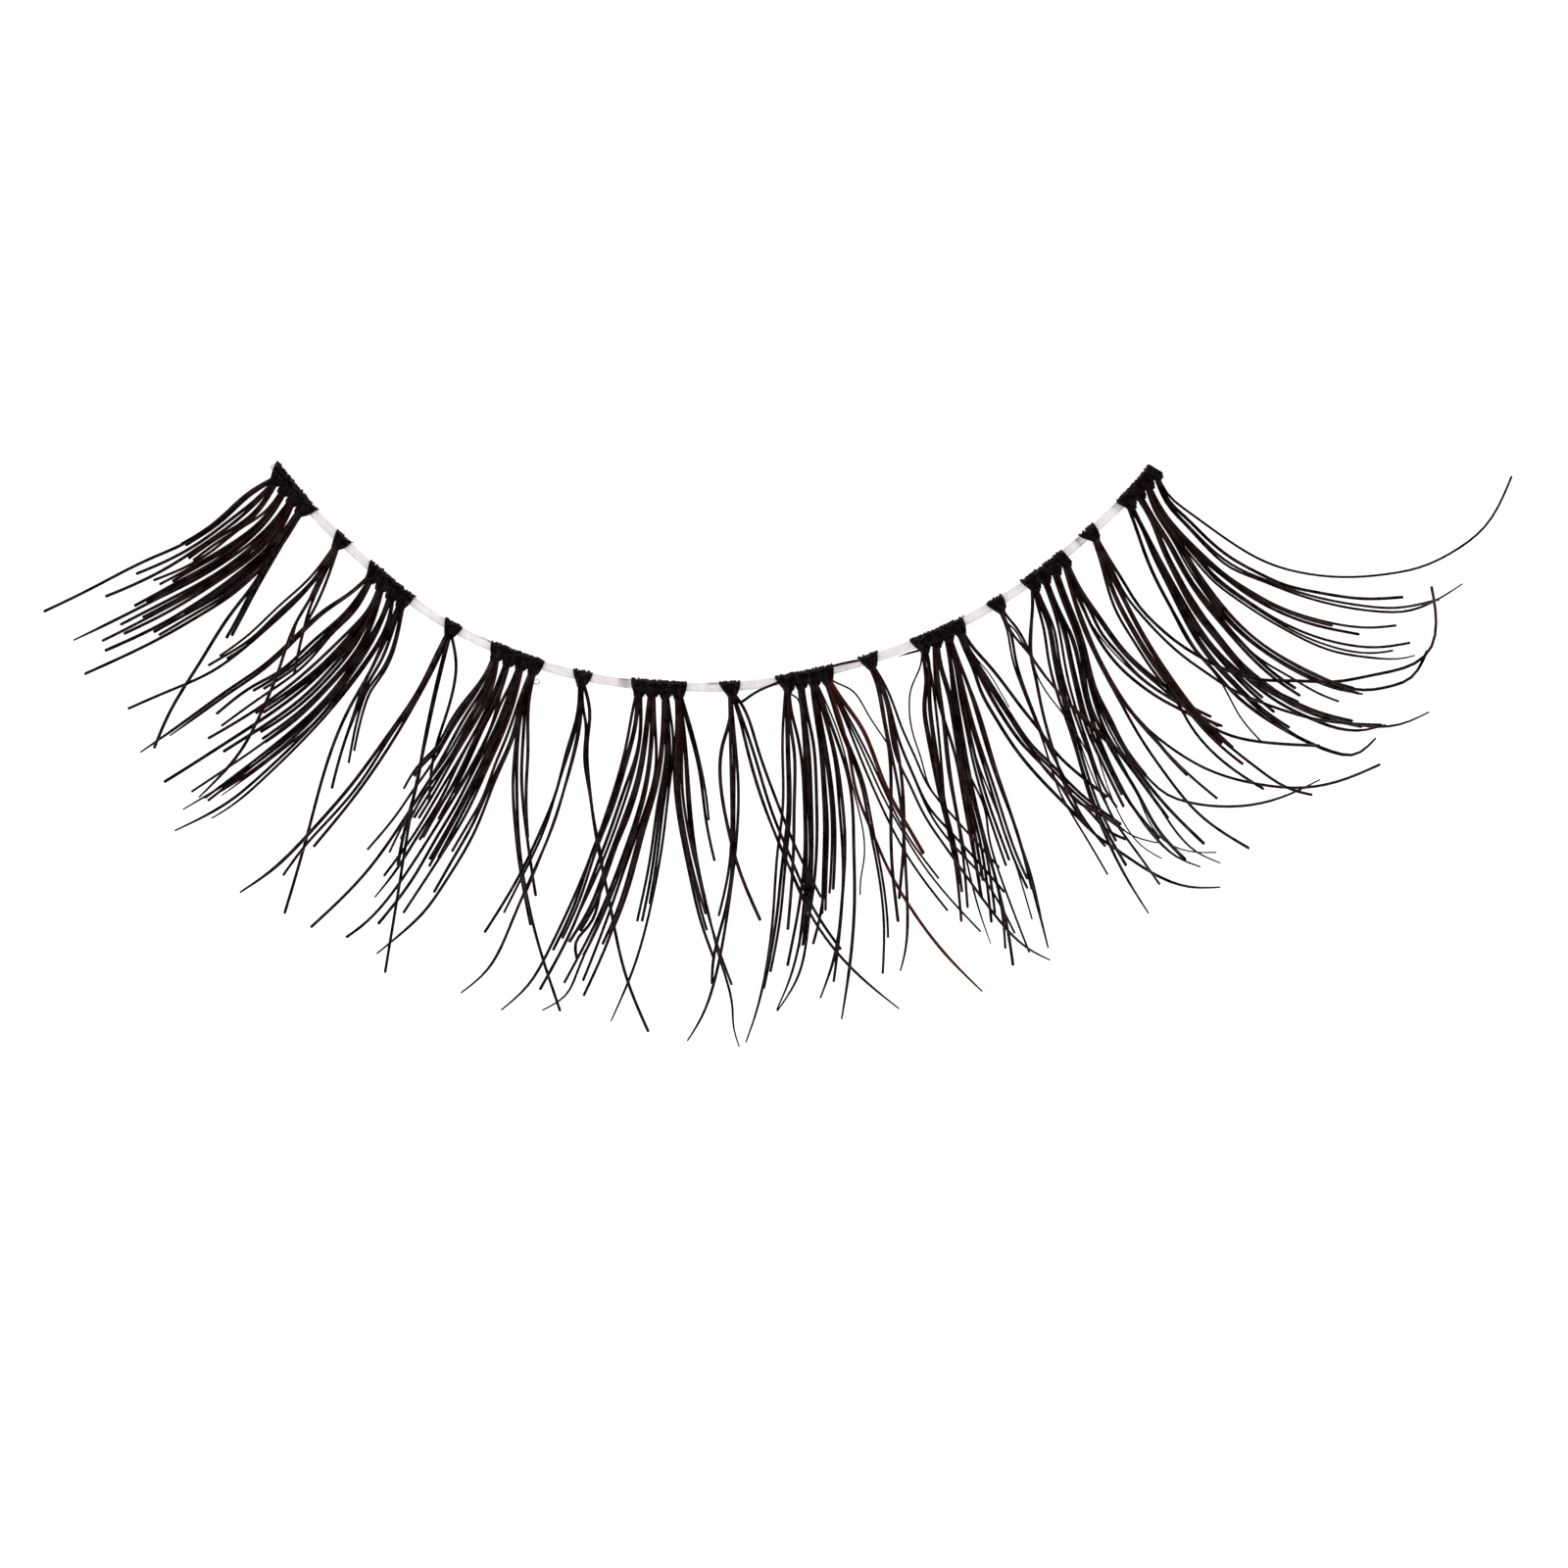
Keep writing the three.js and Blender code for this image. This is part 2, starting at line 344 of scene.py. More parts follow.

# Locks of each tuft, read off the photograph: the width of one hair and the points it passes.
# Where it isn't one plain black hair, the row names how many run together, their tip, their tint and
# the share of their length that the tint starts at.
Lock = namedtuple("Lock", "width route hairs tip tint tint_from", defaults=(1, CUT, None, 0))
LOCKS = {}
LOCKS["cluster_1_tuft_1"] = [
    Lock(0.085, [(-14.5, 6.1), (-15.25, 5.43), (-16.55, 4.5), (-17.5, 4.08), (-19.5, 3.07), (-20.85, 2.4)]),
    Lock(0.09, [(-14.5, 6.02), (-15.3, 5.3), (-16.53, 4.46)], hairs=2),
    Lock(0.1, [(-14.3, 5.86), (-15.0, 5.3), (-16.0, 4.57), (-17.0, 4.01), (-17.97, 3.58)]),
    Lock(0.1, [(-14.15, 5.9), (-15.3, 4.91), (-16.0, 4.42), (-17.0, 3.78), (-18.93, 2.88)]),
    Lock(0.09, [(-14.3, 5.46), (-15.0, 4.91), (-15.7, 4.46), (-16.3, 4.03)], hairs=2),
]
LOCKS["cluster_1_tuft_2"] = [
    Lock(0.08, [(-14.0, 5.5), (-14.7, 5.03), (-15.5, 4.39), (-16.5, 3.78), (-17.44, 3.4)]),
    Lock(0.09, [(-13.95, 5.35), (-14.5, 4.84), (-15.3, 4.3), (-16.5, 3.6), (-17.21, 3.2)], hairs=2),
    Lock(0.1, [(-13.8, 5.4), (-14.7, 4.5), (-15.4, 3.99), (-16.5, 3.36), (-18.0, 2.54)], hairs=2),
    Lock(0.09, [(-13.9, 5.3), (-14.6, 4.65), (-15.6, 3.95), (-16.4, 3.45)]),
]
LOCKS["cluster_1_tuft_3"] = [
    Lock(0.09, [(-13.9, 5.0), (-15.0, 4.1), (-16.3, 3.3), (-17.0, 2.95), (-18.4, 2.25),
        (-19.92, 1.48)], tip=FINE),
    Lock(0.09, [(-13.9, 4.85), (-14.5, 4.28), (-15.3, 3.67), (-16.5, 2.97), (-18.43, 1.93)], hairs=2),
    Lock(0.085, [(-13.9, 4.7), (-14.5, 4.1), (-15.5, 3.4), (-16.5, 2.81), (-19.04, 1.5)]),
    Lock(0.1, [(-13.85, 4.65), (-15.5, 3.45), (-16.5, 2.78), (-17.43, 2.3)]),
    Lock(0.1, [(-13.85, 4.6), (-15.3, 3.42), (-16.0, 2.97), (-17.0, 2.38), (-18.34, 1.69)]),
    Lock(0.1, [(-13.8, 4.48), (-14.5, 3.83), (-15.3, 3.2), (-16.2, 2.59), (-17.0, 2.11), (-18.94, 1.18)]),
]
LOCKS["cluster_1_tuft_4"] = [
    Lock(0.1, [(-13.7, 4.53), (-14.3, 3.94), (-15.0, 3.29), (-15.8, 2.75), (-16.47, 2.37)]),
    Lock(0.09, [(-13.6, 4.45), (-14.3, 3.75), (-15.0, 3.11), (-15.8, 2.59), (-17.38, 1.69)], hairs=2),
    Lock(0.1, [(-13.55, 4.35), (-14.3, 3.55), (-15.0, 2.95), (-16.0, 2.3), (-17.0, 1.71), (-19.57, 0.45)]),
    Lock(0.1, [(-13.3, 4.75), (-13.8, 3.94), (-14.35, 2.99), (-14.7, 2.3), (-15.1, 1.55)], hairs=2),
    Lock(0.1, [(-13.75, 4.2), (-14.2, 3.4), (-15.0, 2.34), (-16.0, 0.78), (-16.9, -0.75), (-17.37, -1.88)]),
]
LOCKS["wisp_1_tuft"] = [
    Lock(0.07, [(-12.6, 3.4), (-13.5, 2.57), (-14.0, 2.09), (-14.5, 1.64), (-15.36, 1.02)]),
    Lock(0.09, [(-12.5, 3.27), (-13.6, 2.23), (-14.3, 1.55), (-15.0, 1.05), (-15.67, 0.65)], hairs=2),
    Lock(0.09, [(-12.5, 3.25), (-13.3, 2.4), (-14.3, 1.5), (-15.6, 0.53), (-17.0, -0.11), (-18.2, -0.65)]),
    Lock(0.08, [(-12.3, 3.2), (-13.05, 1.9), (-13.5, 0.6), (-14.2, -1.05), (-14.6, -1.8),
        (-15.98, -3.42)], tip=FINE),
    Lock(0.085, [(-12.3, 3.1), (-12.58, 2.4), (-12.75, 1.8), (-12.98, 0.83), (-13.05, 0.42)]),
    Lock(0.08, [(-12.15, 3.05), (-12.4, 2.5), (-12.65, 2.0), (-12.9, 1.1)]),
    Lock(0.08, [(-12.35, 3.2), (-12.7, 2.5), (-12.98, 2.0), (-13.08, 1.5)]),
]
LOCKS["cluster_2_tuft_1"] = [
    Lock(0.085, [(-11.31, 2.95), (-12.0, 2.48), (-13.0, 1.57), (-14.0, 0.65), (-15.0, -0.05),
        (-16.5, -1.14), (-17.8, -2.06)], hairs=2, tip=FINE),
    Lock(0.09, [(-11.4, 2.41), (-12.5, 1.42), (-13.5, 0.51), (-14.31, 0.06), (-15.46, -0.8)]),
    Lock(0.095, [(-11.4, 2.25), (-12.0, 1.65), (-13.0, 0.72), (-14.27, -0.14)], hairs=2),
    Lock(0.085, [(-11.2, 2.35), (-11.8, 1.76), (-12.5, 0.94), (-13.0, 0.47), (-14.0, -0.25),
        (-15.3, -1.18)]),
]
LOCKS["cluster_2_tuft_2"] = [
    Lock(0.1, [(-10.7, 2.5), (-11.3, 1.82), (-12.0, 1.14), (-13.0, 0.24), (-15.0, -1.16), (-15.71, -1.57)]),
    Lock(0.09, [(-10.7, 2.4), (-11.3, 1.6), (-12.0, 0.83), (-13.0, -0.01), (-14.2, -0.82)], hairs=2),
    Lock(0.1, [(-10.6, 2.35), (-11.7, 0.99), (-12.4, 0.29), (-13.0, -0.23), (-15.0, -1.62),
        (-17.07, -2.93)]),
    Lock(0.1, [(-11.0, 1.65), (-11.6, 0.92), (-12.3, 0.15), (-13.0, -0.48), (-14.0, -1.2), (-15.22, -2.0)]),
    Lock(0.09, [(-11.1, 1.4), (-11.7, 0.6), (-12.3, -0.05), (-13.0, -0.66), (-14.06, -1.38)]),
    Lock(0.09, [(-11.0, 1.25), (-11.65, 0.42), (-12.25, -0.22), (-13.0, -0.92), (-13.98, -1.64)], hairs=2),
]
LOCKS["cluster_2_tuft_3"] = [
    Lock(0.075, [(-10.4, 2.0), (-10.9, 1.3), (-11.7, 0.3), (-12.5, -0.5), (-14.0, -1.72), (-16.21, -3.26)]),
    Lock(0.09, [(-10.3, 2.2), (-10.7, 1.5), (-11.3, 0.56), (-12.0, -0.34), (-13.3, -1.55),
        (-15.76, -3.49)], hairs=2),
    Lock(0.08, [(-10.25, 2.2), (-10.8, 1.2), (-11.5, 0.2), (-12.2, -0.65), (-13.0, -1.45), (-15.0, -2.97),
        (-16.45, -3.85)], hairs=2, tip=FINE),
    Lock(0.065, [(-10.3, 2.0), (-10.9, 0.9), (-11.6, -0.1), (-12.3, -1.0), (-13.0, -1.64),
        (-15.28, -3.37)], tip=FINE),
    Lock(0.08, [(-10.05, 2.2), (-10.8, 0.78), (-11.3, 0.11), (-12.5, -1.28), (-14.0, -2.75), (-15.0, -3.6),
        (-16.7, -4.55)], hairs=2, tip=FINE),
]
LOCKS["cluster_2_tuft_4"] = [
    Lock(0.095, [(-10.18, 1.64), (-10.5, 0.83), (-11.22, -0.48), (-11.72, -1.56), (-12.12, -2.74),
        (-12.6, -4.53), (-13.3, -7.05)]),
    Lock(0.09, [(-10.27, 1.28), (-10.84, 0.11), (-11.22, -0.98), (-11.49, -1.79), (-11.83, -3.14)]),
    Lock(0.085, [(-9.75, 1.96), (-9.98, 1.1), (-10.36, 0.38), (-10.68, -0.07), (-10.9, -0.62),
        (-11.27, -2.35)], hairs=2),
    Lock(0.09, [(-9.95, 1.8), (-10.3, 0.9), (-10.75, 0.1), (-11.0, -0.5), (-11.3, -1.3)]),
]
LOCKS["wisp_2_tuft"] = [
    Lock(0.09, [(-8.6, 1.0), (-9.1, 0.0), (-10.0, -1.35), (-11.2, -3.0), (-12.5, -4.52), (-13.7, -5.72),
        (-14.67, -6.4)], tip=FINE),
    Lock(0.09, [(-8.55, 0.95), (-9.0, 0.0), (-9.9, -1.35), (-10.98, -3.0), (-11.93, -4.14), (-12.65, -4.95),
        (-13.33, -5.86)]),
    Lock(0.09, [(-8.5, 0.95), (-8.95, 0.05), (-9.95, -1.7), (-11.16, -3.45), (-12.02, -4.55),
        (-12.37, -4.98)]),
    Lock(0.095, [(-8.42, 0.7), (-8.66, -0.32), (-9.0, -2.0), (-9.22, -3.16), (-9.52, -4.29),
        (-9.75, -5.55)]),
    Lock(0.085, [(-8.38, 0.7), (-8.62, -0.32), (-8.98, -2.0), (-9.25, -3.3), (-9.42, -4.3), (-9.74, -6.44),
        (-10.12, -8.9)]),
    Lock(0.085, [(-7.95, 0.75), (-8.05, -0.09), (-8.28, -0.9), (-8.62, -2.03), (-8.77, -3.58)]),
]
LOCKS["cluster_3_tuft_1"] = [
    Lock(0.085, [(-7.02, 0.45), (-7.71, -0.5), (-8.14, -1.17), (-8.52, -1.85), (-9.11, -2.48),
        (-9.54, -3.18)], hairs=2),
    Lock(0.075, [(-7.2, 0.05), (-8.05, -1.24), (-8.66, -2.3), (-9.33, -3.28), (-9.76, -3.92),
        (-10.71, -5.07)]),
    Lock(0.09, [(-7.1, 0.0), (-7.58, -0.75), (-8.16, -1.78), (-8.8, -2.9), (-9.5, -4.0), (-10.71, -5.72),
        (-12.47, -7.48)]),
    Lock(0.08, [(-7.04, -0.1), (-7.6, -1.1), (-8.25, -2.26), (-8.86, -3.1), (-9.45, -4.1),
        (-9.95, -5.18)], hairs=2),
    Lock(0.095, [(-6.85, 0.0), (-7.26, -0.86), (-7.98, -2.05), (-8.72, -3.33), (-9.2, -4.1)], hairs=2),
]
LOCKS["cluster_3_tuft_2"] = [
    Lock(0.09, [(-6.78, -0.15), (-7.08, -0.81), (-7.8, -2.12), (-8.5, -3.28), (-9.17, -4.41),
        (-10.2, -5.88)]),
    Lock(0.08, [(-6.75, -0.25), (-7.26, -1.22), (-7.98, -2.6), (-8.41, -3.47), (-9.13, -4.64),
        (-9.76, -5.68), (-10.45, -6.58)], tip=FINE),
    Lock(0.09, [(-6.7, -0.2), (-7.1, -1.1), (-7.95, -2.95), (-8.41, -3.7), (-9.05, -4.77)]),
    Lock(0.09, [(-6.66, -0.3), (-7.08, -1.13), (-7.76, -2.57), (-8.23, -3.47), (-8.9, -4.71)], hairs=2),
    Lock(0.08, [(-6.6, -0.3), (-6.81, -1.08), (-7.35, -2.21), (-7.98, -3.29)]),
]
LOCKS["cluster_3_tuft_3"] = [
    Lock(0.085, [(-6.3, 0.0), (-6.56, -0.5), (-6.72, -0.9), (-7.26, -2.12), (-7.98, -3.38), (-9.58, -5.9),
        (-10.93, -7.48), (-11.36, -7.8)]),
    Lock(0.09, [(-6.35, -0.35), (-6.72, -1.26), (-7.44, -2.66), (-7.91, -3.6), (-8.54, -4.68),
        (-9.31, -6.0), (-10.37, -7.38)]),
    Lock(0.095, [(-6.3, -0.3), (-6.6, -1.1), (-7.2, -2.5), (-8.1, -4.2), (-8.76, -5.36)]),
    Lock(0.09, [(-6.27, -0.45), (-6.54, -1.26), (-7.17, -2.66), (-7.73, -3.78), (-8.72, -5.62)], hairs=2),
    Lock(0.09, [(-6.13, -0.45), (-6.36, -1.13), (-6.99, -2.57), (-7.55, -3.78), (-8.23, -4.96),
        (-9.56, -7.05)]),
]
LOCKS["cluster_3_tuft_4"] = [
    Lock(0.085, [(-5.91, -0.23), (-6.36, -1.53), (-6.72, -2.39), (-7.17, -3.56), (-7.46, -4.1),
        (-8.05, -5.13)]),
    Lock(0.095, [(-5.88, -0.3), (-6.22, -1.58), (-6.81, -2.89), (-7.41, -4.23), (-8.0, -5.27),
        (-8.64, -6.39)]),
    Lock(0.085, [(-5.85, -0.4), (-6.09, -1.35), (-6.72, -2.89), (-7.32, -4.41), (-8.32, -6.13),
        (-8.95, -7.01), (-9.58, -7.62), (-10.41, -8.32)], tip=FINE),
    Lock(0.095, [(-5.85, -0.3), (-6.04, -1.35), (-6.18, -3.16), (-6.13, -4.06), (-5.95, -5.64),
        (-5.63, -7.42)]),
    Lock(0.09, [(-5.82, -0.4), (-6.0, -1.49), (-6.04, -3.16), (-5.95, -4.96), (-5.77, -6.23),
        (-5.29, -8.25), (-4.67, -10.1)]),
    Lock(0.09, [(-5.75, -0.3), (-5.82, -1.13), (-5.89, -2.93), (-5.75, -4.51), (-5.43, -6.5)]),
    Lock(0.095, [(-5.65, -0.3), (-5.7, -2.03), (-5.74, -2.93), (-5.68, -4.68)]),
]
LOCKS["wisp_3_tuft"] = [
    Lock(0.09, [(-4.15, -0.81), (-4.46, -1.9), (-4.82, -3.25), (-5.28, -4.42), (-5.86, -5.69),
        (-7.05, -7.64)]),
    Lock(0.08, [(-4.15, -1.0), (-4.7, -2.9), (-5.1, -4.2), (-5.86, -5.9), (-6.42, -7.04)]),
    Lock(0.085, [(-4.1, -1.13), (-4.46, -2.8), (-4.87, -4.2), (-5.32, -5.32), (-6.2, -7.39), (-6.96, -8.84),
        (-7.77, -9.54)], tip=FINE),
    Lock(0.08, [(-4.05, -1.1), (-4.4, -2.7), (-4.94, -4.42), (-5.52, -5.87), (-5.8, -6.55)]),
    Lock(0.095, [(-3.76, -0.81), (-3.83, -1.58), (-3.79, -2.93), (-3.52, -4.9), (-3.15, -6.72),
        (-2.63, -8.98), (-1.92, -10.75)]),
    Lock(0.085, [(-3.97, -0.6), (-3.88, -1.15), (-3.92, -2.1), (-3.8, -3.1), (-3.6, -4.3), (-3.35, -5.5)]),
]
LOCKS["cluster_4_tuft_1"] = [
    Lock(0.08, [(-2.36, -0.44), (-2.63, -1.84), (-3.15, -3.65), (-3.58, -4.87), (-4.39, -6.86),
        (-5.07, -8.3), (-5.66, -9.29), (-6.51, -10.08)], tip=FINE),
    Lock(0.09, [(-2.32, -1.12), (-2.63, -2.34), (-3.08, -3.78), (-3.63, -5.18), (-4.07, -6.54),
        (-4.84, -8.23)], hairs=2),
    Lock(0.095, [(-2.23, -1.8), (-2.63, -3.06), (-3.13, -4.5), (-3.67, -5.95), (-4.25, -7.44),
        (-5.3, -9.43)]),
    Lock(0.09, [(-2.18, -1.66), (-2.45, -2.88), (-2.86, -4.14), (-3.4, -5.59), (-4.16, -7.24)]),
]
LOCKS["cluster_4_tuft_2"] = [
    Lock(0.095, [(-2.0, -1.44), (-2.27, -2.97), (-2.72, -4.28), (-3.24, -5.75), (-3.62, -6.77),
        (-4.33, -7.98)], hairs=2),
    Lock(0.1, [(-1.95, -1.3), (-2.2, -2.9), (-2.65, -4.3), (-3.4, -6.3), (-3.76, -7.44), (-4.18, -8.02),
        (-4.14, -8.46)]),
    Lock(0.09, [(-1.82, -1.44), (-2.05, -3.24), (-2.45, -4.6), (-2.86, -5.77), (-3.49, -7.31),
        (-4.5, -9.25)], hairs=2),
    Lock(0.075, [(-1.8, -1.44), (-2.0, -3.24), (-2.42, -4.7), (-3.4, -7.2), (-4.16, -8.98), (-4.43, -9.56),
        (-5.22, -10.11)], tip=FINE),
    Lock(0.09, [(-1.71, -1.12), (-1.69, -2.52), (-2.05, -3.92), (-2.63, -5.6), (-3.04, -6.77),
        (-3.95, -9.16)]),
]
LOCKS["cluster_4_tuft_3"] = [
    Lock(0.09, [(-1.51, -1.66), (-1.73, -3.15), (-2.09, -4.46), (-2.47, -5.7), (-3.04, -7.53),
        (-3.95, -9.62)]),
    Lock(0.095, [(-1.46, -1.44), (-1.69, -3.11), (-2.05, -4.32), (-2.49, -5.95), (-2.9, -7.17),
        (-3.28, -8.05)], hairs=2),
    Lock(0.085, [(-1.33, -1.21), (-1.3, -2.02), (-1.51, -3.56), (-1.72, -5.1), (-2.12, -7.33)], hairs=3),
    Lock(0.08, [(-1.24, -0.76), (-1.14, -1.57), (-1.26, -3.11), (-1.46, -4.75), (-1.82, -6.72),
        (-2.36, -8.75), (-3.06, -10.44)], tip=FINE),
]
LOCKS["cluster_4_tuft_4"] = [
    Lock(0.09, [(-1.01, -1.21), (-1.07, -2.3), (-0.94, -4.01), (-0.6, -5.7), (-0.19, -7.44),
        (0.17, -8.43)], hairs=2),
    Lock(0.085, [(-0.9, -1.5), (-0.9, -3.15), (-0.65, -4.82), (-0.42, -5.77), (-0.05, -7.06)], hairs=2),
    Lock(0.09, [(-0.78, -1.89), (-0.67, -3.69), (-0.47, -5.27), (-0.1, -6.9), (0.21, -7.98),
        (0.69, -9.29)]),
    Lock(0.075, [(-0.8, -1.2), (-0.65, -3.0), (-0.4, -5.36), (0.05, -7.4), (0.3, -8.39), (0.74, -10.1),
        (0.76, -10.56), (0.94, -11.23)], tip=FINE),
    Lock(0.09, [(-0.69, -1.12), (-0.38, -2.34), (-0.15, -3.92), (0.14, -5.41)]),
    Lock(0.075, [(-0.66, -1.0), (-0.29, -2.4), (-0.12, -3.3), (-0.04, -4.14)]),
]
LOCKS["wisp_4_tuft"] = [
    Lock(0.1, [(0.66, -0.85), (0.41, -1.8), (0.36, -3.06), (0.55, -4.23), (0.89, -5.59),
        (1.6, -7.26)], tint=BROWN),
    Lock(0.09, [(0.64, -1.21), (0.68, -3.02), (0.69, -4.3), (0.6, -5.6), (0.28, -7.13)], tint=BROWN),
    Lock(0.09, [(0.75, -1.44), (0.77, -3.69), (0.73, -5.36), (0.48, -7.08), (0.12, -8.71), (0.1, -9.25)]),
    Lock(0.085, [(0.8, -1.6), (0.91, -3.02), (0.86, -4.73), (0.57, -7.08), (0.21, -8.98), (-0.28, -10.38),
        (-0.68, -11.04)], tip=FINE),
    Lock(0.075, [(0.89, -0.76), (1.13, -1.75), (1.81, -3.98), (2.32, -5.19), (3.17, -7.09), (4.48, -8.8),
        (5.93, -10.04)], tip=FINE),
    Lock(0.085, [(0.9, -0.8), (1.15, -1.75), (1.5, -3.02), (2.0, -4.45), (2.95, -6.55)]),
    Lock(0.085, [(1.0, -0.9), (1.38, -2.02), (1.99, -3.98), (2.59, -5.42), (3.22, -6.82), (4.12, -8.17)]),
    Lock(0.09, [(1.02, -0.53), (1.47, -1.75), (2.29, -3.98), (2.86, -5.33), (3.49, -6.55)]),
    Lock(0.08, [(0.93, -0.45), (1.2, -0.31), (1.83, 0.03), (2.19, 0.19)]),
]
LOCKS["cluster_5_tuft_1"] = [
    Lock(0.085, [(2.35, -0.5), (2.29, -1.72), (2.3, -3.75), (2.14, -5.15), (2.02, -6.95), (1.84, -8.53),
        (1.41, -10.38), (1.15, -11.1)], tip=FINE, tint=BROWN),
    Lock(0.09, [(2.44, -0.9), (2.47, -2.17), (2.49, -3.98), (2.33, -5.56), (2.16, -7.18),
        (1.75, -9.41)], hairs=2),
    Lock(0.1, [(2.53, -1.1), (2.65, -1.9), (2.67, -3.53), (2.65, -4.9), (2.45, -7.56)], tint=BROWN),
    Lock(0.09, [(2.56, -0.7), (2.72, -1.36), (2.87, -2.17), (2.96, -3.53), (2.97, -5.37), (2.45, -8.69)]),
    Lock(0.05, [(2.54, -0.17), (2.69, -0.28), (2.82, -0.5)]),
]
LOCKS["cluster_5_tuft_2"] = [
    Lock(0.09, [(2.92, -0.82), (3.01, -1.95), (3.04, -3.4), (3.1, -4.66), (3.08, -6.0),
        (2.86, -8.13)], hairs=2),
    Lock(0.08, [(2.98, -0.8), (3.12, -1.95), (3.19, -3.3), (3.22, -4.8), (3.15, -6.5), (2.99, -8.08),
        (2.77, -8.98), (2.11, -10.11)], tip=FINE),
    Lock(0.075, [(2.95, -0.9), (3.08, -2.2), (3.14, -3.6), (3.16, -5.2), (3.0, -7.0), (2.79, -8.22),
        (2.54, -9.12), (2.13, -10.08)], tip=FINE),
    Lock(0.09, [(3.05, -0.7), (3.26, -1.72), (3.35, -3.08), (3.37, -4.43), (3.27, -6.28), (2.97, -8.0)]),
]
LOCKS["cluster_5_tuft_3"] = [
    Lock(0.09, [(3.3, -0.59), (3.48, -1.72), (3.6, -3.08), (3.66, -4.43), (3.64, -5.4),
        (3.59, -7.07)], hairs=2),
    Lock(0.085, [(3.3, -0.7), (3.5, -1.9), (3.64, -3.5), (3.62, -5.6), (3.45, -7.18), (3.25, -8.01)]),
    Lock(0.09, [(3.48, -1.05), (3.71, -2.4), (3.87, -3.75), (3.9, -4.43), (3.81, -6.43)], hairs=2),
    Lock(0.09, [(3.62, -0.95), (3.93, -2.26), (4.07, -3.6), (4.19, -5.2), (4.17, -6.73), (3.89, -9.19)]),
    Lock(0.085, [(3.7, -1.1), (3.98, -2.17), (4.18, -3.53), (4.27, -4.66), (4.19, -6.6), (3.94, -8.4),
        (3.49, -9.71)], tip=FINE),
    Lock(0.09, [(3.75, -1.0), (4.16, -2.17), (4.39, -3.08), (4.5, -4.88), (4.53, -6.5), (4.37, -8.76),
        (4.11, -10.36)], tip=FINE),
    Lock(0.055, [(3.85, -0.9), (4.2, -1.9), (4.45, -2.95), (4.74, -4.1), (4.84, -5.38), (4.74, -6.0),
        (4.72, -6.48)]),
]
LOCKS["cluster_5_tuft_4"] = [
    Lock(0.08, [(3.84, -0.37), (4.07, -1.09), (4.39, -1.9), (4.79, -2.99), (5.04, -4.2), (5.34, -5.74),
        (5.54, -7.63), (5.51, -8.94)], hairs=2),
    Lock(0.09, [(3.93, -0.46), (4.43, -2.26), (4.61, -3.21), (5.04, -4.34), (5.56, -5.56), (6.38, -7.0),
        (7.46, -8.4), (8.55, -9.48)], tip=FINE, tint=RED_BROWN),
    Lock(0.07, [(4.25, -1.0), (4.57, -1.81), (5.06, -2.99), (5.6, -4.16), (6.24, -5.33), (7.44, -6.98)]),
    Lock(0.065, [(4.3, -0.95), (4.79, -1.95), (5.33, -3.17), (6.01, -4.43), (6.69, -5.51), (8.49, -7.63)]),
    Lock(0.065, [(4.35, -0.9), (4.88, -1.9), (5.42, -3.03), (6.15, -4.52), (7.17, -5.97)]),
    Lock(0.125, [(4.16, -0.37), (4.79, -1.27), (5.24, -2.35), (5.69, -3.44), (6.28, -4.43),
        (6.71, -5.17)], tint=RED_BROWN),
    Lock(0.05, [(3.89, 0.22), (4.43, -0.05), (4.88, -0.64), (5.56, -1.72)]),
]
LOCKS["wisp_5_tuft"] = [
    Lock(0.1, [(5.15, 0.4), (5.42, -0.73), (5.63, -1.99), (5.69, -3.4), (5.71, -5.3), (5.89, -7.31)]),
    Lock(0.1, [(5.3, 0.3), (5.69, -1.05), (5.92, -2.08), (6.06, -3.3), (6.08, -4.66), (5.95, -6.59)]),
    Lock(0.085, [(5.25, 0.2), (5.5, -1.0), (5.83, -2.63), (6.0, -3.6), (6.13, -5.15), (6.2, -6.8),
        (6.09, -8.4), (5.97, -8.85)], tip=FINE),
    Lock(0.08, [(5.5, -0.1), (5.92, -1.54), (6.46, -2.85), (6.91, -3.75), (7.41, -4.34), (9.23, -6.39)]),
    Lock(0.075, [(5.5, -0.15), (5.9, -1.55), (6.43, -2.85), (6.95, -4.0), (7.72, -5.02), (8.49, -5.87),
        (9.17, -6.96), (9.53, -7.68)]),
    Lock(0.075, [(5.5, -0.3), (5.87, -2.17), (6.24, -2.94), (6.69, -3.89), (7.36, -4.93), (8.31, -6.28),
        (9.17, -7.41), (9.93, -8.13), (10.65, -8.51)], tip=FINE),
    Lock(0.07, [(5.55, 0.0), (6.06, -1.32), (6.46, -2.22), (6.82, -3.03), (7.41, -3.8), (9.07, -5.63)]),
]
LOCKS["cluster_6_tuft_1"] = [
    Lock(0.085, [(6.75, 0.73), (6.8, 0.23), (6.74, -0.49), (6.87, -1.53), (7.05, -2.43), (7.34, -3.74),
        (7.63, -4.93), (7.95, -7.3)], hairs=2),
    Lock(0.085, [(6.89, 0.73), (6.91, -0.31), (7.02, -1.4), (7.18, -2.43), (7.43, -3.92),
        (7.91, -6.12)], hairs=2),
    Lock(0.085, [(6.96, 0.41), (7.11, -0.58), (7.23, -1.76), (7.32, -2.84), (7.45, -4.1), (7.66, -5.2)]),
    Lock(0.05, [(6.62, 0.71), (6.33, 0.0), (6.27, -0.46), (6.39, -1.45), (6.64, -2.26), (6.87, -3.03),
        (7.2, -3.55)]),
]
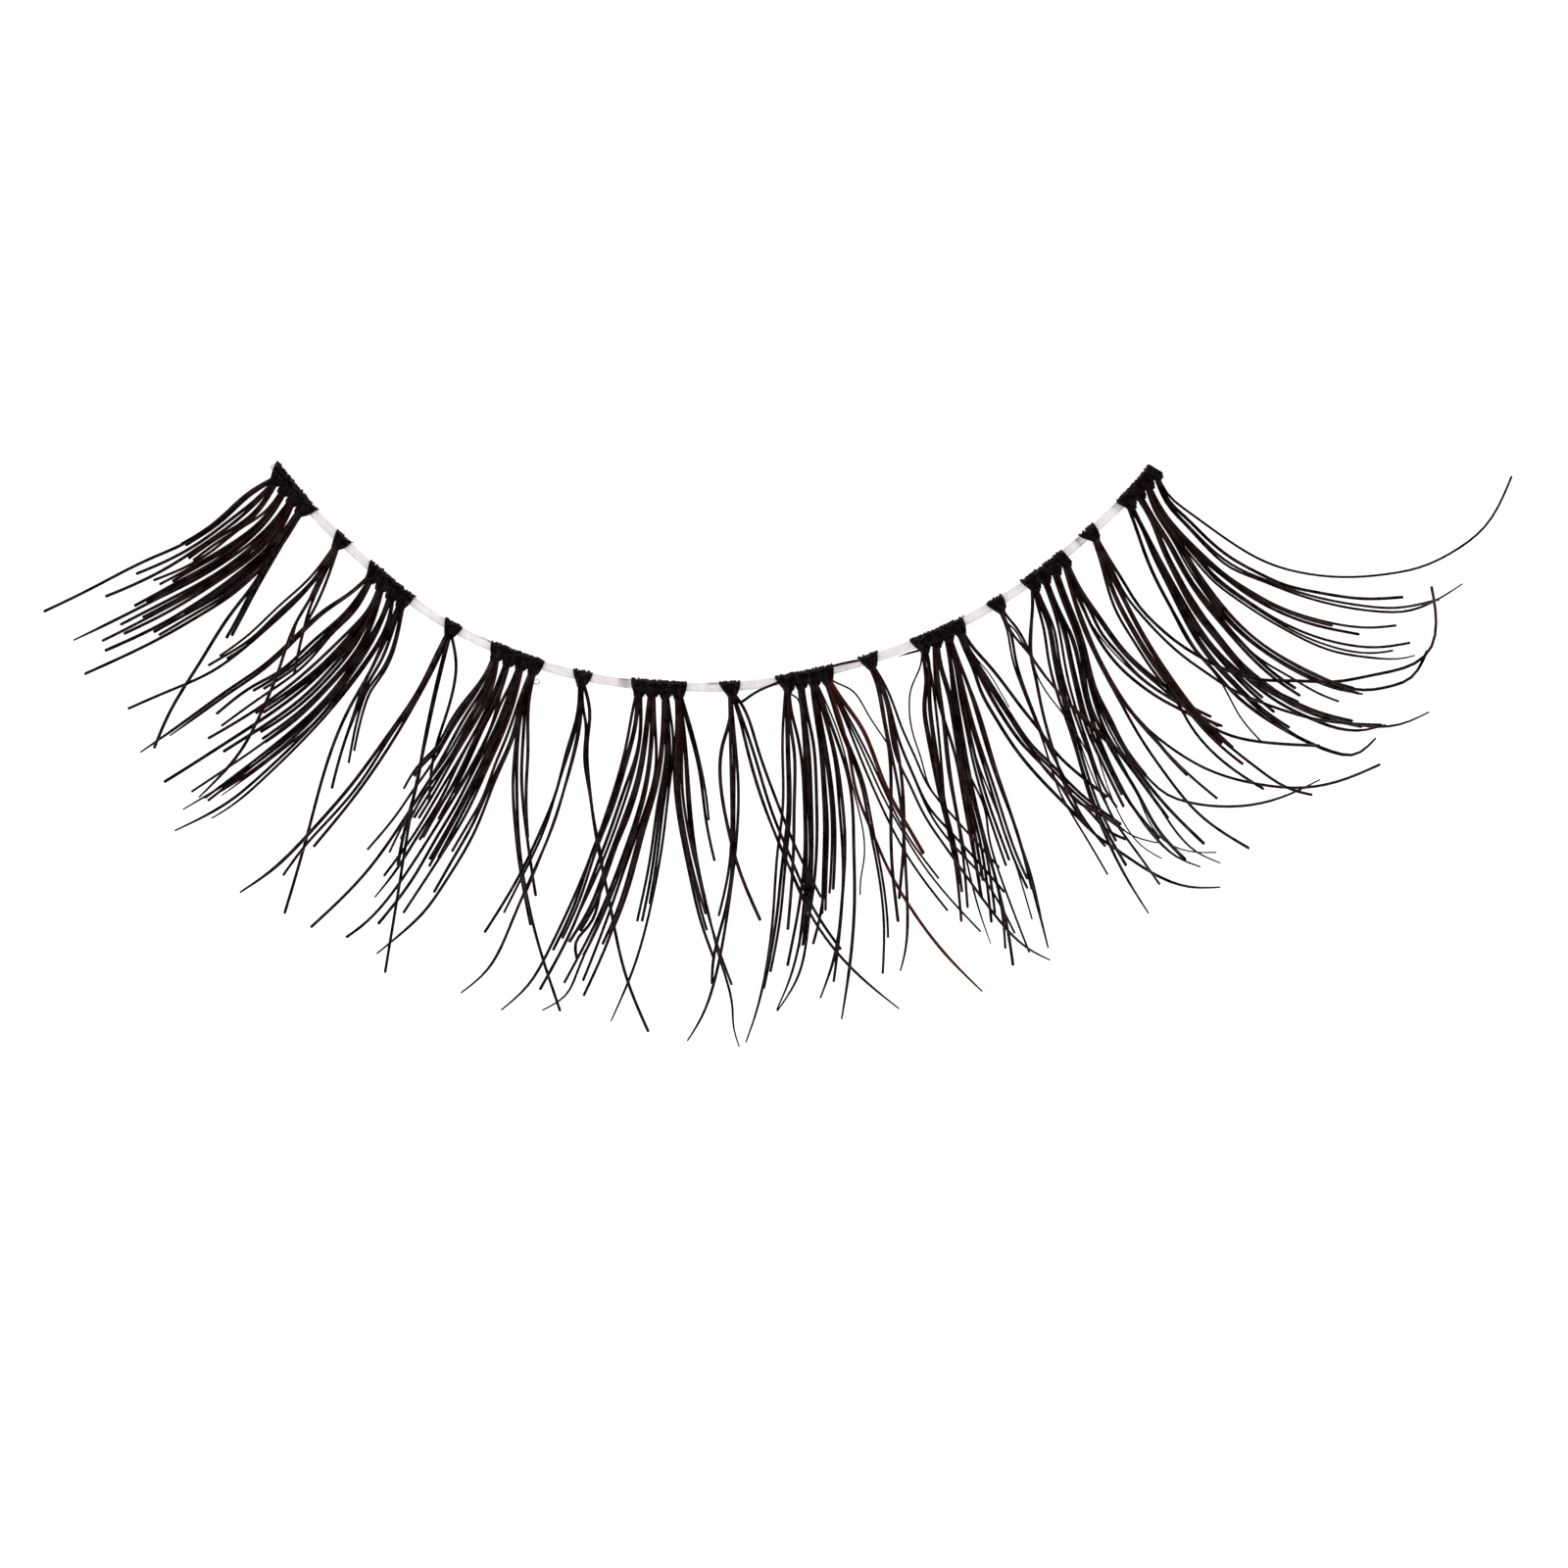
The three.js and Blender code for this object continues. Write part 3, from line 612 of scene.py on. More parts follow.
LOCKS["cluster_6_tuft_2"] = [
    Lock(0.09, [(7.14, 0.73), (7.23, -0.13), (7.36, -1.21), (7.47, -2.3), (7.88, -4.57), (8.1, -6.87)]),
    Lock(0.06, [(7.16, 0.7), (7.27, -0.2), (7.42, -1.3), (7.57, -2.6), (7.83, -4.11), (8.26, -6.24),
        (8.49, -7.09), (8.81, -8.02)], tip=FINE),
    Lock(0.1, [(7.25, 0.73), (7.52, -0.18), (7.7, -1.12), (7.88, -2.21), (8.04, -3.2),
        (8.6, -6.53)], hairs=2),
    Lock(0.095, [(7.07, 0.73), (7.18, -0.31), (7.48, -1.3), (7.75, -2.21), (7.95, -3.3), (8.5, -6.1)]),
]
LOCKS["cluster_6_tuft_3"] = [
    Lock(0.085, [(7.57, 0.73), (7.68, -0.31), (7.86, -1.4), (8.2, -3.38), (8.49, -4.52),
        (8.9, -7.32)], hairs=2),
    Lock(0.085, [(7.6, 0.6), (7.75, -0.5), (7.98, -1.9), (8.2, -3.1), (8.58, -4.52), (9.19, -7.36),
        (9.25, -8.15)]),
    Lock(0.095, [(7.62, 0.6), (7.8, -0.5), (8.05, -2.0), (8.3, -3.3), (8.65, -4.7), (9.44, -7.95),
        (9.53, -8.67)]),
    Lock(0.07, [(7.64, 0.4), (7.8, -1.1), (7.99, -2.3), (8.33, -3.05), (8.68, -3.9), (8.76, -4.52),
        (8.98, -5.42), (9.44, -6.73), (10.02, -8.27)]),
    Lock(0.085, [(7.7, 0.86), (7.9, -0.31), (8.06, -1.12), (8.33, -2.39), (8.94, -4.34),
        (9.35, -5.54)], hairs=2),
    Lock(0.085, [(7.75, 0.8), (7.95, 0.0), (8.24, -1.12), (8.87, -3.11), (9.71, -5.56),
        (10.02, -6.24)], hairs=2),
    Lock(0.06, [(7.85, 0.2), (8.15, -1.2), (8.38, -2.21), (8.67, -2.99), (9.48, -5.11), (10.13, -7.23)]),
    Lock(0.1, [(7.79, 0.91), (8.11, 0.09), (8.38, -0.76), (9.1, -3.06), (9.57, -4.34), (10.1, -6.3)]),
    Lock(0.09, [(7.85, 0.8), (8.2, -0.1), (8.49, -1.03), (8.83, -2.1), (9.71, -4.75),
        (10.62, -8.13)], tip=FINE),
    Lock(0.065, [(7.88, 0.7), (8.3, -0.3), (8.8, -1.85), (9.75, -4.84), (10.02, -5.65), (10.43, -7.36)]),
]
LOCKS["cluster_6_tuft_4"] = [
    Lock(0.1, [(8.02, 1.18), (8.29, 0.55), (8.51, -0.09), (8.92, -0.85), (9.46, -1.71), (10.0, -2.43),
        (10.95, -3.47), (11.87, -4.41)]),
    Lock(0.04, [(8.29, 0.68), (8.74, -0.22), (9.33, -1.17), (9.91, -1.94), (10.23, -2.25)]),
    Lock(0.09, [(8.15, 1.18), (8.56, 0.5), (9.01, -0.22), (9.55, -1.08), (10.09, -1.85), (10.63, -2.39),
        (11.45, -3.24), (13.0, -4.43)], hairs=2),
    Lock(0.095, [(8.13, 1.1), (8.5, 0.45), (8.97, -0.28), (10.09, -1.94), (10.86, -2.93), (11.94, -3.92),
        (12.46, -4.48), (13.02, -4.77)]),
    Lock(0.085, [(8.12, 1.05), (8.5, 0.35), (10.0, -1.95), (11.02, -3.08), (11.92, -4.43), (12.73, -5.05),
        (14.26, -6.0), (14.99, -6.23), (15.98, -6.24)], tip=FINE),
    Lock(0.1, [(8.2, 1.36), (8.74, 0.73), (9.28, 0.05), (9.82, -0.67), (10.36, -1.35), (10.9, -2.07),
        (11.67, -2.79), (12.44, -3.43)]),
    Lock(0.04, [(8.4, 0.9), (8.69, 0.55), (9.14, -0.13), (9.4, -0.6)]),
]
LOCKS["wisp_6_tuft"] = [
    Lock(0.065, [(9.33, 1.83), (9.48, 1.01), (9.73, 0.2), (10.03, -0.57), (10.48, -1.78), (10.92, -3.16),
        (11.69, -4.56), (12.45, -5.84)]),
    Lock(0.085, [(9.42, 1.83), (9.6, 0.92), (9.85, 0.07), (10.21, -0.88), (10.56, -1.71), (11.1, -2.8),
        (11.56, -3.85), (12.39, -4.96)]),
    Lock(0.075, [(9.48, 1.74), (9.89, 1.24), (10.84, -0.02), (11.56, -0.75), (12.87, -1.99), (13.59, -2.66),
        (14.26, -3.29), (15.03, -3.59), (16.0, -3.72), (17.08, -3.66), (18.07, -3.38),
        (19.09, -2.89)], tip=FINE),
    Lock(0.075, [(9.26, 2.37), (9.62, 1.92), (9.94, 1.37), (10.16, 0.92), (10.9, -0.05), (11.83, -1.08),
        (13.05, -2.21)]),
    Lock(0.05, [(9.3, 2.1), (9.57, 1.83), (9.85, 1.4), (10.07, 1.1)]),
]
LOCKS["cluster_7_tuft_1"] = [
    Lock(0.09, [(10.14, 2.6), (10.09, 1.92), (10.07, 1.15), (10.23, 0.34), (10.39, -0.48), (10.97, -2.57),
        (11.42, -3.47), (12.05, -3.85), (12.73, -4.24)]),
    Lock(0.05, [(10.12, 1.9), (10.12, 1.0), (10.25, 0.47), (10.66, -0.25), (11.11, -0.84), (11.83, -2.03)]),
    Lock(0.09, [(10.3, 2.6), (10.5, 1.83), (10.64, 0.92), (10.86, 0.02), (11.24, -1.11), (11.52, -2.01),
        (11.92, -3.38), (12.37, -4.51), (13.0, -5.82), (13.73, -7.05)], tip=FINE),
    Lock(0.09, [(10.4, 2.6), (10.61, 2.1), (10.79, 1.24), (10.97, 0.29), (11.25, -0.75), (11.92, -3.07),
        (12.37, -4.24), (13.08, -5.52)], hairs=2),
    Lock(0.085, [(10.5, 2.6), (10.79, 1.92), (10.97, 0.92), (11.2, -0.05), (11.92, -2.12), (12.73, -4.24),
        (13.23, -4.96), (14.07, -6.14)]),
    Lock(0.045, [(10.45, 2.6), (10.9, 0.9), (11.6, -1.6), (12.55, -3.84), (13.0, -4.45), (14.03, -4.84)]),
]
LOCKS["cluster_7_tuft_2"] = [
    Lock(0.085, [(10.75, 2.6), (10.95, 1.92), (11.11, 1.01), (11.31, 0.0), (11.65, -1.13), (11.96, -2.03),
        (12.41, -3.2), (12.74, -3.74)]),
    Lock(0.09, [(10.88, 2.5), (11.15, 1.75), (11.33, 0.92), (11.56, -0.1), (11.87, -1.22), (12.23, -2.03),
        (13.03, -3.68)], hairs=2),
    Lock(0.1, [(10.95, 2.5), (11.3, 1.75), (11.56, 0.9), (11.74, 0.0), (12.01, -0.99), (12.32, -1.85),
        (13.23, -3.66), (14.06, -4.72)]),
    Lock(0.075, [(10.97, 2.4), (11.35, 1.7), (11.6, 0.8), (11.8, -0.2), (12.3, -1.75), (13.0, -3.25),
        (14.08, -4.83), (14.58, -5.28), (15.34, -5.62)], tip=FINE),
    Lock(0.045, [(10.9, 2.4), (11.45, 0.5), (12.2, -2.2), (13.0, -4.3), (13.5, -4.95), (14.13, -5.35)]),
]
LOCKS["cluster_7_tuft_3"] = [
    Lock(0.105, [(11.15, 2.6), (11.45, 1.85), (11.7, 0.9), (11.92, -0.45), (12.28, -1.31), (12.73, -2.17),
        (13.41, -3.29), (14.04, -4.42), (14.87, -5.37)]),
    Lock(0.1, [(11.2, 2.6), (11.55, 1.75), (11.83, 0.6), (12.19, -0.77), (12.59, -1.67), (13.05, -2.3),
        (13.77, -3.29), (14.33, -4.08)]),
    Lock(0.07, [(11.22, 2.5), (11.6, 1.6), (11.9, 0.4), (12.3, -0.8), (13.0, -2.1), (13.7, -3.1),
        (14.53, -4.42), (15.21, -5.14), (15.97, -5.5)], tip=FINE),
    Lock(0.1, [(11.3, 2.6), (11.65, 1.7), (11.96, 0.32), (12.41, -0.81), (12.87, -1.67), (13.32, -2.39),
        (14.13, -3.47), (15.46, -4.87)]),
    Lock(0.095, [(11.3, 2.5), (11.7, 1.5), (12.14, -0.09), (12.59, -0.99), (12.96, -1.76), (13.65, -2.75)]),
    Lock(0.045, [(11.25, 2.4), (11.8, 0.7), (12.5, -1.5), (13.4, -3.3), (14.2, -4.75), (15.0, -5.11),
        (15.84, -5.14)]),
]
LOCKS["cluster_7_tuft_4"] = [
    Lock(0.095, [(11.38, 2.95), (11.65, 2.1), (11.97, 1.33), (12.37, 0.52), (12.82, -0.3), (13.5, -1.51),
        (14.31, -2.71), (15.39, -4.02), (16.86, -5.02)]),
    Lock(0.115, [(11.45, 2.8), (11.7, 2.05), (12.05, 1.25), (12.5, 0.4), (13.0, -0.45), (13.86, -1.44),
        (14.4, -2.12), (14.95, -2.72)], tint=BROWN),
    Lock(0.09, [(11.45, 2.75), (11.72, 2.0), (12.1, 1.15), (12.55, 0.3), (13.27, -0.81), (14.13, -1.8),
        (15.08, -2.78), (15.87, -3.47)]),
    Lock(0.085, [(11.47, 2.8), (11.75, 2.05), (12.2, 1.0), (12.75, 0.0), (13.59, -1.13), (14.26, -1.71),
        (15.71, -2.59), (17.17, -3.01), (18.75, -3.12), (19.86, -2.88), (20.96, -2.42)]),
    Lock(0.1, [(11.61, 2.86), (11.92, 2.1), (12.33, 1.37), (12.82, 0.74), (13.46, 0.16), (14.18, -0.34),
        (15.17, -0.88), (16.2, -1.44), (17.35, -1.7), (19.06, -1.8)]),
    Lock(0.05, [(11.7, 2.5), (12.46, 1.37), (13.05, 0.74), (13.68, 0.16), (14.72, -0.52)]),
    Lock(0.1, [(11.6, 3.0), (11.83, 2.64), (12.33, 1.69), (12.87, 1.06), (13.5, 0.38), (14.22, -0.16),
        (15.0, -0.65), (15.93, -1.2)]),
    Lock(0.09, [(11.65, 3.05), (11.92, 2.64), (12.42, 1.92), (12.96, 1.19), (13.59, 0.56), (14.18, 0.07),
        (15.0, -0.6), (16.07, -1.14)], hairs=2),
]
LOCKS["wisp_7_tuft"] = [
    Lock(0.08, [(12.24, 4.08), (12.46, 3.27), (12.78, 2.37), (13.28, 1.51), (13.95, 0.47), (14.63, -0.43),
        (15.03, -1.13), (16.25, -2.44), (17.33, -3.16)]),
    Lock(0.09, [(12.42, 3.72), (12.78, 2.77), (13.28, 1.83), (13.77, 1.01), (14.31, 0.25), (15.26, -0.99),
        (16.16, -1.9), (16.72, -2.34)], hairs=2),
    Lock(0.09, [(12.5, 3.7), (12.82, 3.09), (13.32, 2.1), (13.86, 1.15), (14.4, 0.34), (15.17, -0.75),
        (15.98, -1.58), (17.15, -2.53), (18.21, -3.18), (18.83, -3.34)]),
    Lock(0.09, [(12.55, 3.75), (12.9, 3.05), (13.45, 2.0), (14.0, 1.05), (14.6, 0.15), (15.2, -0.65),
        (16.4, -1.85)], tint=BROWN),
    Lock(0.085, [(12.55, 4.04), (13.0, 3.32), (13.46, 2.59), (14.09, 1.92), (14.76, 1.37), (15.45, 0.94),
        (17.3, 0.26), (18.43, 0.22), (19.65, 0.19), (20.58, 0.35), (21.48, 0.54), (22.11, 0.78),
        (22.56, 1.23), (22.71, 1.81), (22.56, 3.14)], tint=PURPLE, tint_from=0.8),
    Lock(0.08, [(12.6, 3.81), (13.0, 3.0), (13.55, 2.28), (14.18, 1.6), (14.95, 0.92), (15.63, 0.44),
        (16.35, -0.03), (17.21, -0.42), (18.2, -0.78), (19.29, -1.05), (21.0, -1.17)]),
]
LOCKS["cluster_8_tuft_1"] = [
    Lock(0.1, [(13.39, 5.0), (13.69, 4.14), (14.09, 3.24), (14.57, 2.34), (15.06, 1.44), (15.81, 0.55),
        (16.4, -0.12), (17.08, -0.71), (18.2, -1.43), (19.47, -2.02), (20.19, -2.12),
        (20.86, -1.61)], tip=FINE),
    Lock(0.06, [(13.42, 5.0), (13.75, 4.1), (14.2, 3.1), (14.75, 2.1), (15.32, 1.14), (15.99, 0.28),
        (16.26, -0.17), (16.62, -0.84), (17.32, -1.69)]),
    Lock(0.095, [(13.48, 5.23), (13.94, 4.19), (14.39, 3.29), (14.84, 2.38), (15.33, 1.5), (15.81, 0.83),
        (16.44, 0.15), (17.2, -0.6), (18.39, -1.44)], hairs=2),
    Lock(0.095, [(13.5, 5.2), (14.0, 4.2), (14.5, 3.25), (15.0, 2.35), (15.5, 1.6), (16.13, 0.83),
        (16.89, 0.01), (17.72, -0.71)], hairs=2),
    Lock(0.09, [(13.55, 5.15), (14.05, 4.2), (14.6, 3.2), (15.15, 2.25), (15.86, 1.23), (16.71, 0.42),
        (17.89, -0.48), (18.7, -0.89), (19.87, -1.3), (20.5, -1.32), (21.14, -1.16)], tip=FINE),
]
LOCKS["cluster_8_tuft_2"] = [
    Lock(0.09, [(13.89, 5.36), (14.25, 4.41), (14.75, 3.42), (15.24, 2.56), (15.88, 1.71), (16.62, 0.78),
        (17.39, 0.1), (18.2, -0.44), (19.29, -0.89), (20.41, -1.16)], hairs=2),
    Lock(0.095, [(13.85, 5.3), (14.2, 4.45), (14.7, 3.4), (15.25, 2.4), (15.95, 1.5), (16.7, 0.6),
        (17.5, -0.05), (18.2, -0.42), (18.88, -0.73)], hairs=2),
    Lock(0.075, [(13.9, 5.3), (14.3, 4.4), (14.8, 3.4), (15.4, 2.45), (16.2, 1.35), (17.1, 0.4),
        (18.3, -0.5), (19.4, -0.95), (20.4, -1.17), (21.54, -1.17), (22.52, -0.77)], tip=FINE),
    Lock(0.095, [(13.95, 5.3), (14.39, 4.6), (14.84, 3.78), (15.4, 2.9), (16.1, 2.05), (16.9, 1.15),
        (17.84, 0.28), (18.52, -0.19)], hairs=2),
    Lock(0.07, [(14.0, 5.2), (14.5, 4.4), (15.11, 3.4), (16.1, 2.16), (16.82, 1.3), (17.28, 0.9),
        (18.2, 0.33), (19.11, -0.21), (19.69, -0.45)]),
]
LOCKS["cluster_8_tuft_3"] = [
    Lock(0.09, [(14.1, 5.6), (14.57, 4.96), (15.02, 4.14), (15.61, 3.24), (16.37, 2.29), (17.28, 1.44),
        (18.2, 0.85), (19.29, 0.3), (20.37, -0.06), (21.36, 0.05), (21.93, 0.28), (22.46, 1.14)]),
    Lock(0.09, [(14.05, 5.55), (14.5, 4.9), (14.97, 4.1), (15.57, 3.15), (16.33, 2.2), (17.2, 1.4),
        (18.2, 0.74), (19.3, 0.2), (20.33, -0.13)], hairs=2),
    Lock(0.065, [(14.0, 5.5), (14.45, 4.8), (14.95, 3.9), (15.5, 3.05), (16.3, 2.05), (17.3, 1.2),
        (18.2, 0.62), (18.93, 0.24), (19.56, -0.01), (20.44, -0.2)]),
    Lock(0.085, [(14.25, 5.54), (14.79, 4.87), (15.47, 4.19), (16.19, 3.56), (17.0, 3.02), (17.91, 2.52),
        (18.9, 2.16), (19.9, 1.93), (20.76, 1.87), (21.49, 1.94)]),
    Lock(0.085, [(14.2, 5.5), (14.61, 4.96), (15.24, 4.28), (16.06, 3.6), (16.91, 2.97), (17.82, 2.47),
        (18.9, 2.05), (20.35, 1.72)], hairs=2),
    Lock(0.085, [(14.2, 5.45), (14.66, 5.0), (15.2, 4.32), (15.92, 3.47), (16.73, 2.84), (17.55, 2.29),
        (18.49, 1.8), (19.86, 1.38), (20.94, 1.28), (21.91, 1.41)]),
    Lock(0.07, [(14.2, 5.4), (15.18, 4.2), (15.88, 3.4), (16.7, 2.78), (17.5, 2.25), (18.27, 1.8),
        (19.5, 1.29), (20.94, 1.08), (21.39, 1.14)]),
    Lock(0.065, [(14.3, 5.2), (15.15, 4.1), (15.83, 3.34), (16.64, 2.72), (17.41, 2.2), (18.27, 1.7),
        (19.41, 1.18), (20.8, 0.93), (21.75, 0.93), (22.07, 1.01)], tip=FINE),
]
LOCKS["cluster_8_tuft_4"] = [
    Lock(0.07, [(14.39, 6.08), (15.02, 5.54), (15.74, 5.02), (16.55, 4.46), (17.46, 3.96), (18.54, 3.63),
        (19.99, 3.48), (21.48, 3.6), (22.2, 3.75), (23.3, 4.25), (24.3, 5.05), (25.1, 6.6)]),
    Lock(0.09, [(14.43, 5.86), (14.97, 5.32), (15.61, 4.69), (16.42, 4.05), (17.28, 3.58), (18.09, 3.22),
        (19.04, 2.99), (20.53, 2.77), (21.7, 2.82)]),
    Lock(0.075, [(14.4, 5.8), (15.06, 5.05), (15.74, 4.37), (16.55, 3.78), (17.37, 3.42), (18.18, 3.11),
        (19.41, 2.76), (20.53, 2.56), (21.48, 2.49), (22.83, 2.74)]),
    Lock(0.075, [(14.38, 5.75), (14.93, 5.14), (15.61, 4.41), (16.37, 3.78), (17.28, 3.4), (18.09, 3.08),
        (19.5, 2.65), (21.12, 2.4), (21.8, 2.41), (22.56, 2.65), (23.56, 3.25)], tip=FINE),
]


def ripple(waves, at, phase=0):
    """The waves together, at a place along something or at an angle."""
    return sum(wave.size * np.sin(at * wave.pace + wave.start + phase) for wave in waves)


def unit(vectors):
    """The vectors at length one."""
    return vectors / np.linalg.norm(vectors, axis=-1, keepdims=True)


def spline(points, count):
    """A smooth curve through the points at even steps: a natural cubic spline over the chord lengths."""
    points = np.asarray(points, dtype=float)
    reach = np.concatenate([[0], np.cumsum(np.linalg.norm(np.diff(points, axis=0), axis=1))])
    gaps = np.diff(reach)
    matrix = np.eye(len(points))
    right = np.zeros_like(points)
    for i in range(1, len(points) - 1):
        matrix[i, i - 1:i + 2] = gaps[i - 1], 2 * (gaps[i - 1] + gaps[i]), gaps[i]
        slope_before = (points[i] - points[i - 1]) / gaps[i - 1]
        slope_after = (points[i + 1] - points[i]) / gaps[i]
        right[i] = 6 * (slope_after - slope_before)
    bend = np.linalg.solve(matrix, right)
    places = np.linspace(0, reach[-1], count)
    i = np.clip(np.searchsorted(reach, places, side="right") - 1, 0, len(gaps) - 1)
    before = (places - reach[i])[:, None]
    after = (reach[i + 1] - places)[:, None]
    gap = gaps[i][:, None]
    cubic = (bend[i] * after**3 + bend[i + 1] * before**3) / (6 * gap)
    start = (points[i] / gap - bend[i] * gap / 6) * after
    end = (points[i + 1] / gap - bend[i + 1] * gap / 6) * before
    return cubic + start + end


def drift(along):
    """How far past the arc the band's line lies, eased from one station to the next."""
    stations = np.array([station.along for station in BAND_DRIFT])
    outs = np.array([station.out for station in BAND_DRIFT])
    i = np.clip(np.searchsorted(stations, along, side="right") - 1, 0, len(stations) - 2)
    share = np.clip((along - stations[i]) / (stations[i + 1] - stations[i]), 0, 1)
    return outs[i] + (outs[i + 1] - outs[i]) * share**2 * (3 - 2 * share)


def on_band(along, out, height):
    """The point at that distance along the band, out from its middle line towards the hair, and up."""
    along, out, height = np.broadcast_arrays(along, out, height)
    angle = along / BAND_RADIUS
    radius = BAND_RADIUS + drift(along) + out
    return np.stack([radius * np.sin(angle), BAND_RADIUS - radius * np.cos(angle), height], axis=-1)


def band_frame():
    """Where the band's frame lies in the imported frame, in millimetres: its outline fits the band's box."""
    half = BAND_RADIUS * BAND_HALF_ANGLE
    places = np.linspace(-half, half, OUTLINE_STEPS)
    sides = [on_band(places, side * BAND_WIDTH / 2, 0) for side in (-1, 1)]
    low = np.concatenate(sides).min(axis=0)
    box_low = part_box("band")[0]
    return np.array([box_low.x / MM - low[0], box_low.y / MM - low[1], 0])


class Strands:
    """Tubes and lofts gathered into one mesh, with a tint and a place along the strand at every point."""

    def __init__(self):
        self.points = []
        self.faces = []
        self.tints = []
        self.alongs = []
        self.count = 0

    def add_rings(self, rings, ends, tint):
        """A closed skin over rings of points, shut at both ends by a fan to a middle point."""
        steps, sides, _ = rings.shape
        base = self.count
        for i in range(steps - 1):
            for j in range(sides):
                a = base + i * sides + j
                b = base + i * sides + (j + 1) % sides
                self.faces.append((a, b, b + sides, a + sides))
        first = base + steps * sides
        last = first + 1
        top = base + (steps - 1) * sides
        for j in range(sides):
            self.faces.append((base + (j + 1) % sides, base + j, first))
            self.faces.append((top + j, top + (j + 1) % sides, last))
        self.points.append(rings.reshape(-1, 3))
        self.points.append(np.asarray(ends))
        along = np.repeat(np.linspace(0, 1, steps), sides)
        self.alongs.append(np.concatenate([along, [0, 1]]))
        self.tints.append(np.tile([*tint, 1.0], (steps * sides + 2, 1)))
        self.count += steps * sides + 2

    def add_tube(self, path, radii, sides, tint):
        """A round tube along a path, with a radius at each point and rounded ends."""
        heading = unit(np.gradient(path, axis=0))
        before = path[0] - heading[0] * radii[0] * END_RING_OUT
        after = path[-1] + heading[-1] * radii[-1] * END_RING_OUT
        path = np.vstack([before, path, after])
        radii = np.concatenate([[radii[0] * END_RING_WIDTH], radii, [radii[-1] * END_RING_WIDTH]])
        heading = np.vstack([heading[0], heading, heading[-1]])
        normal = np.cross(heading[0], OFF_STRAND)
        turn = np.arange(sides) * 2 * math.pi / sides
        rings = []
        for point, ahead, radius in zip(path, heading, radii):
            normal = unit(normal - ahead * np.dot(normal, ahead))
            across = np.cross(ahead, normal)
            rings.append(point + radius * (np.outer(np.cos(turn), normal) + np.outer(np.sin(turn), across)))
        first = path[0] - heading[0] * radii[0] * END_POINT_OUT
        last = path[-1] + heading[-1] * radii[-1] * END_POINT_OUT
        self.add_rings(np.array(rings), [first, last], tint)

    def start_as(self, tint, until):
        """Another tint for the start of the last strand, eased to its own past a share of its length."""
        share = np.clip((self.alongs[-1] - until) / TINT_EASE, 0, 1)[:, None]
        self.tints[-1][:, :3] = np.array(tint) * (1 - share) + self.tints[-1][:, :3] * share

    def piece(self, name, node, slot, material):
        """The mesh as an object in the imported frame, standing for a node."""
        points = (np.concatenate(self.points) + BAND_FRAME) * MM
        mesh = bpy.data.meshes.new(name)
        mesh.from_pydata(points, [], self.faces)
        tint = mesh.attributes.new("tint", "FLOAT_COLOR", "POINT")
        tint.data.foreach_set("color", np.concatenate(self.tints).ravel())
        mesh.shade_smooth()
        mesh.materials.append(material)
        piece = bpy.data.objects.new(name, mesh)
        bpy.context.scene.collection.objects.link(piece)
        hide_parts(node)
        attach(piece, "root")


def new_material(name):
    """A node material, its node tree and the inputs of its Principled shader."""
    material = bpy.data.materials.new(name)
    material.use_nodes = True
    tree = material.node_tree
    return material, tree, tree.nodes["Principled BSDF"].inputs


def noise(tree, scale):
    """A noise over the object's own place, with the scale given in features per metre."""
    place = tree.nodes.new("ShaderNodeTexCoord")
    node = tree.nodes.new("ShaderNodeTexNoise")
    node.inputs["Scale"].default_value = scale
    node.inputs["Detail"].default_value = NOISE_DETAIL
    node.inputs["Roughness"].default_value = NOISE_ROUGHNESS
    tree.links.new(place.outputs["Object"], node.inputs["Vector"])
    return node.outputs["Fac"]


def cloudy(tree, cloud):
    """A value that goes from the cloud's low to its high as a noise passes two places."""
    node = tree.nodes.new("ShaderNodeMapRange")
    node.inputs["From Min"].default_value = cloud.at[0]
    node.inputs["From Max"].default_value = cloud.at[1]
    node.inputs["To Min"].default_value = cloud.low
    node.inputs["To Max"].default_value = cloud.high
    tree.links.new(noise(tree, cloud.scale), node.inputs["Value"])
    return node.outputs["Result"]


def stored_tint(tree, output):
    """The colour or the alpha of the tint that the mesh stores."""
    node = tree.nodes.new("ShaderNodeAttribute")
    node.attribute_name = "tint"
    return node.outputs[output]


def scaled_colour(tree, colour, factor):
    """The colour made lighter or darker by the factor."""
    node = tree.nodes.new("ShaderNodeVectorMath")
    node.operation = "SCALE"
    tree.links.new(colour, node.inputs[0])
    tree.links.new(factor, node.inputs["Scale"])
    return node.outputs["Vector"]


def grainy(tree, grain):
    """A normal roughened by the grain."""
    node = tree.nodes.new("ShaderNodeBump")
    node.inputs["Strength"].default_value = grain.strength
    node.inputs["Distance"].default_value = grain.depth
    tree.links.new(noise(tree, grain.scale), node.inputs["Height"])
    return node.outputs["Normal"]


def tinted_material(name, finish):
    """A material with the tint that each mesh stores, in the finish's shades, roughness and grain."""
    material, tree, inputs = new_material(name)
    tint = scaled_colour(tree, stored_tint(tree, "Color"), cloudy(tree, finish.shade))
    tree.links.new(tint, inputs["Base Color"])
    tree.links.new(cloudy(tree, finish.roughness), inputs["Roughness"])
    tree.links.new(grainy(tree, finish.grain), inputs["Normal"])
    return material, tree, inputs


def thread_material(name, finish):
    """Black fibre, each strand with its own tint, with a shine in places."""
    material, tree, inputs = tinted_material(name, finish)
    tree.links.new(cloudy(tree, finish.shine), inputs["Specular IOR Level"])
    inputs["Specular Tint"].default_value = finish.shine_tint
    return material


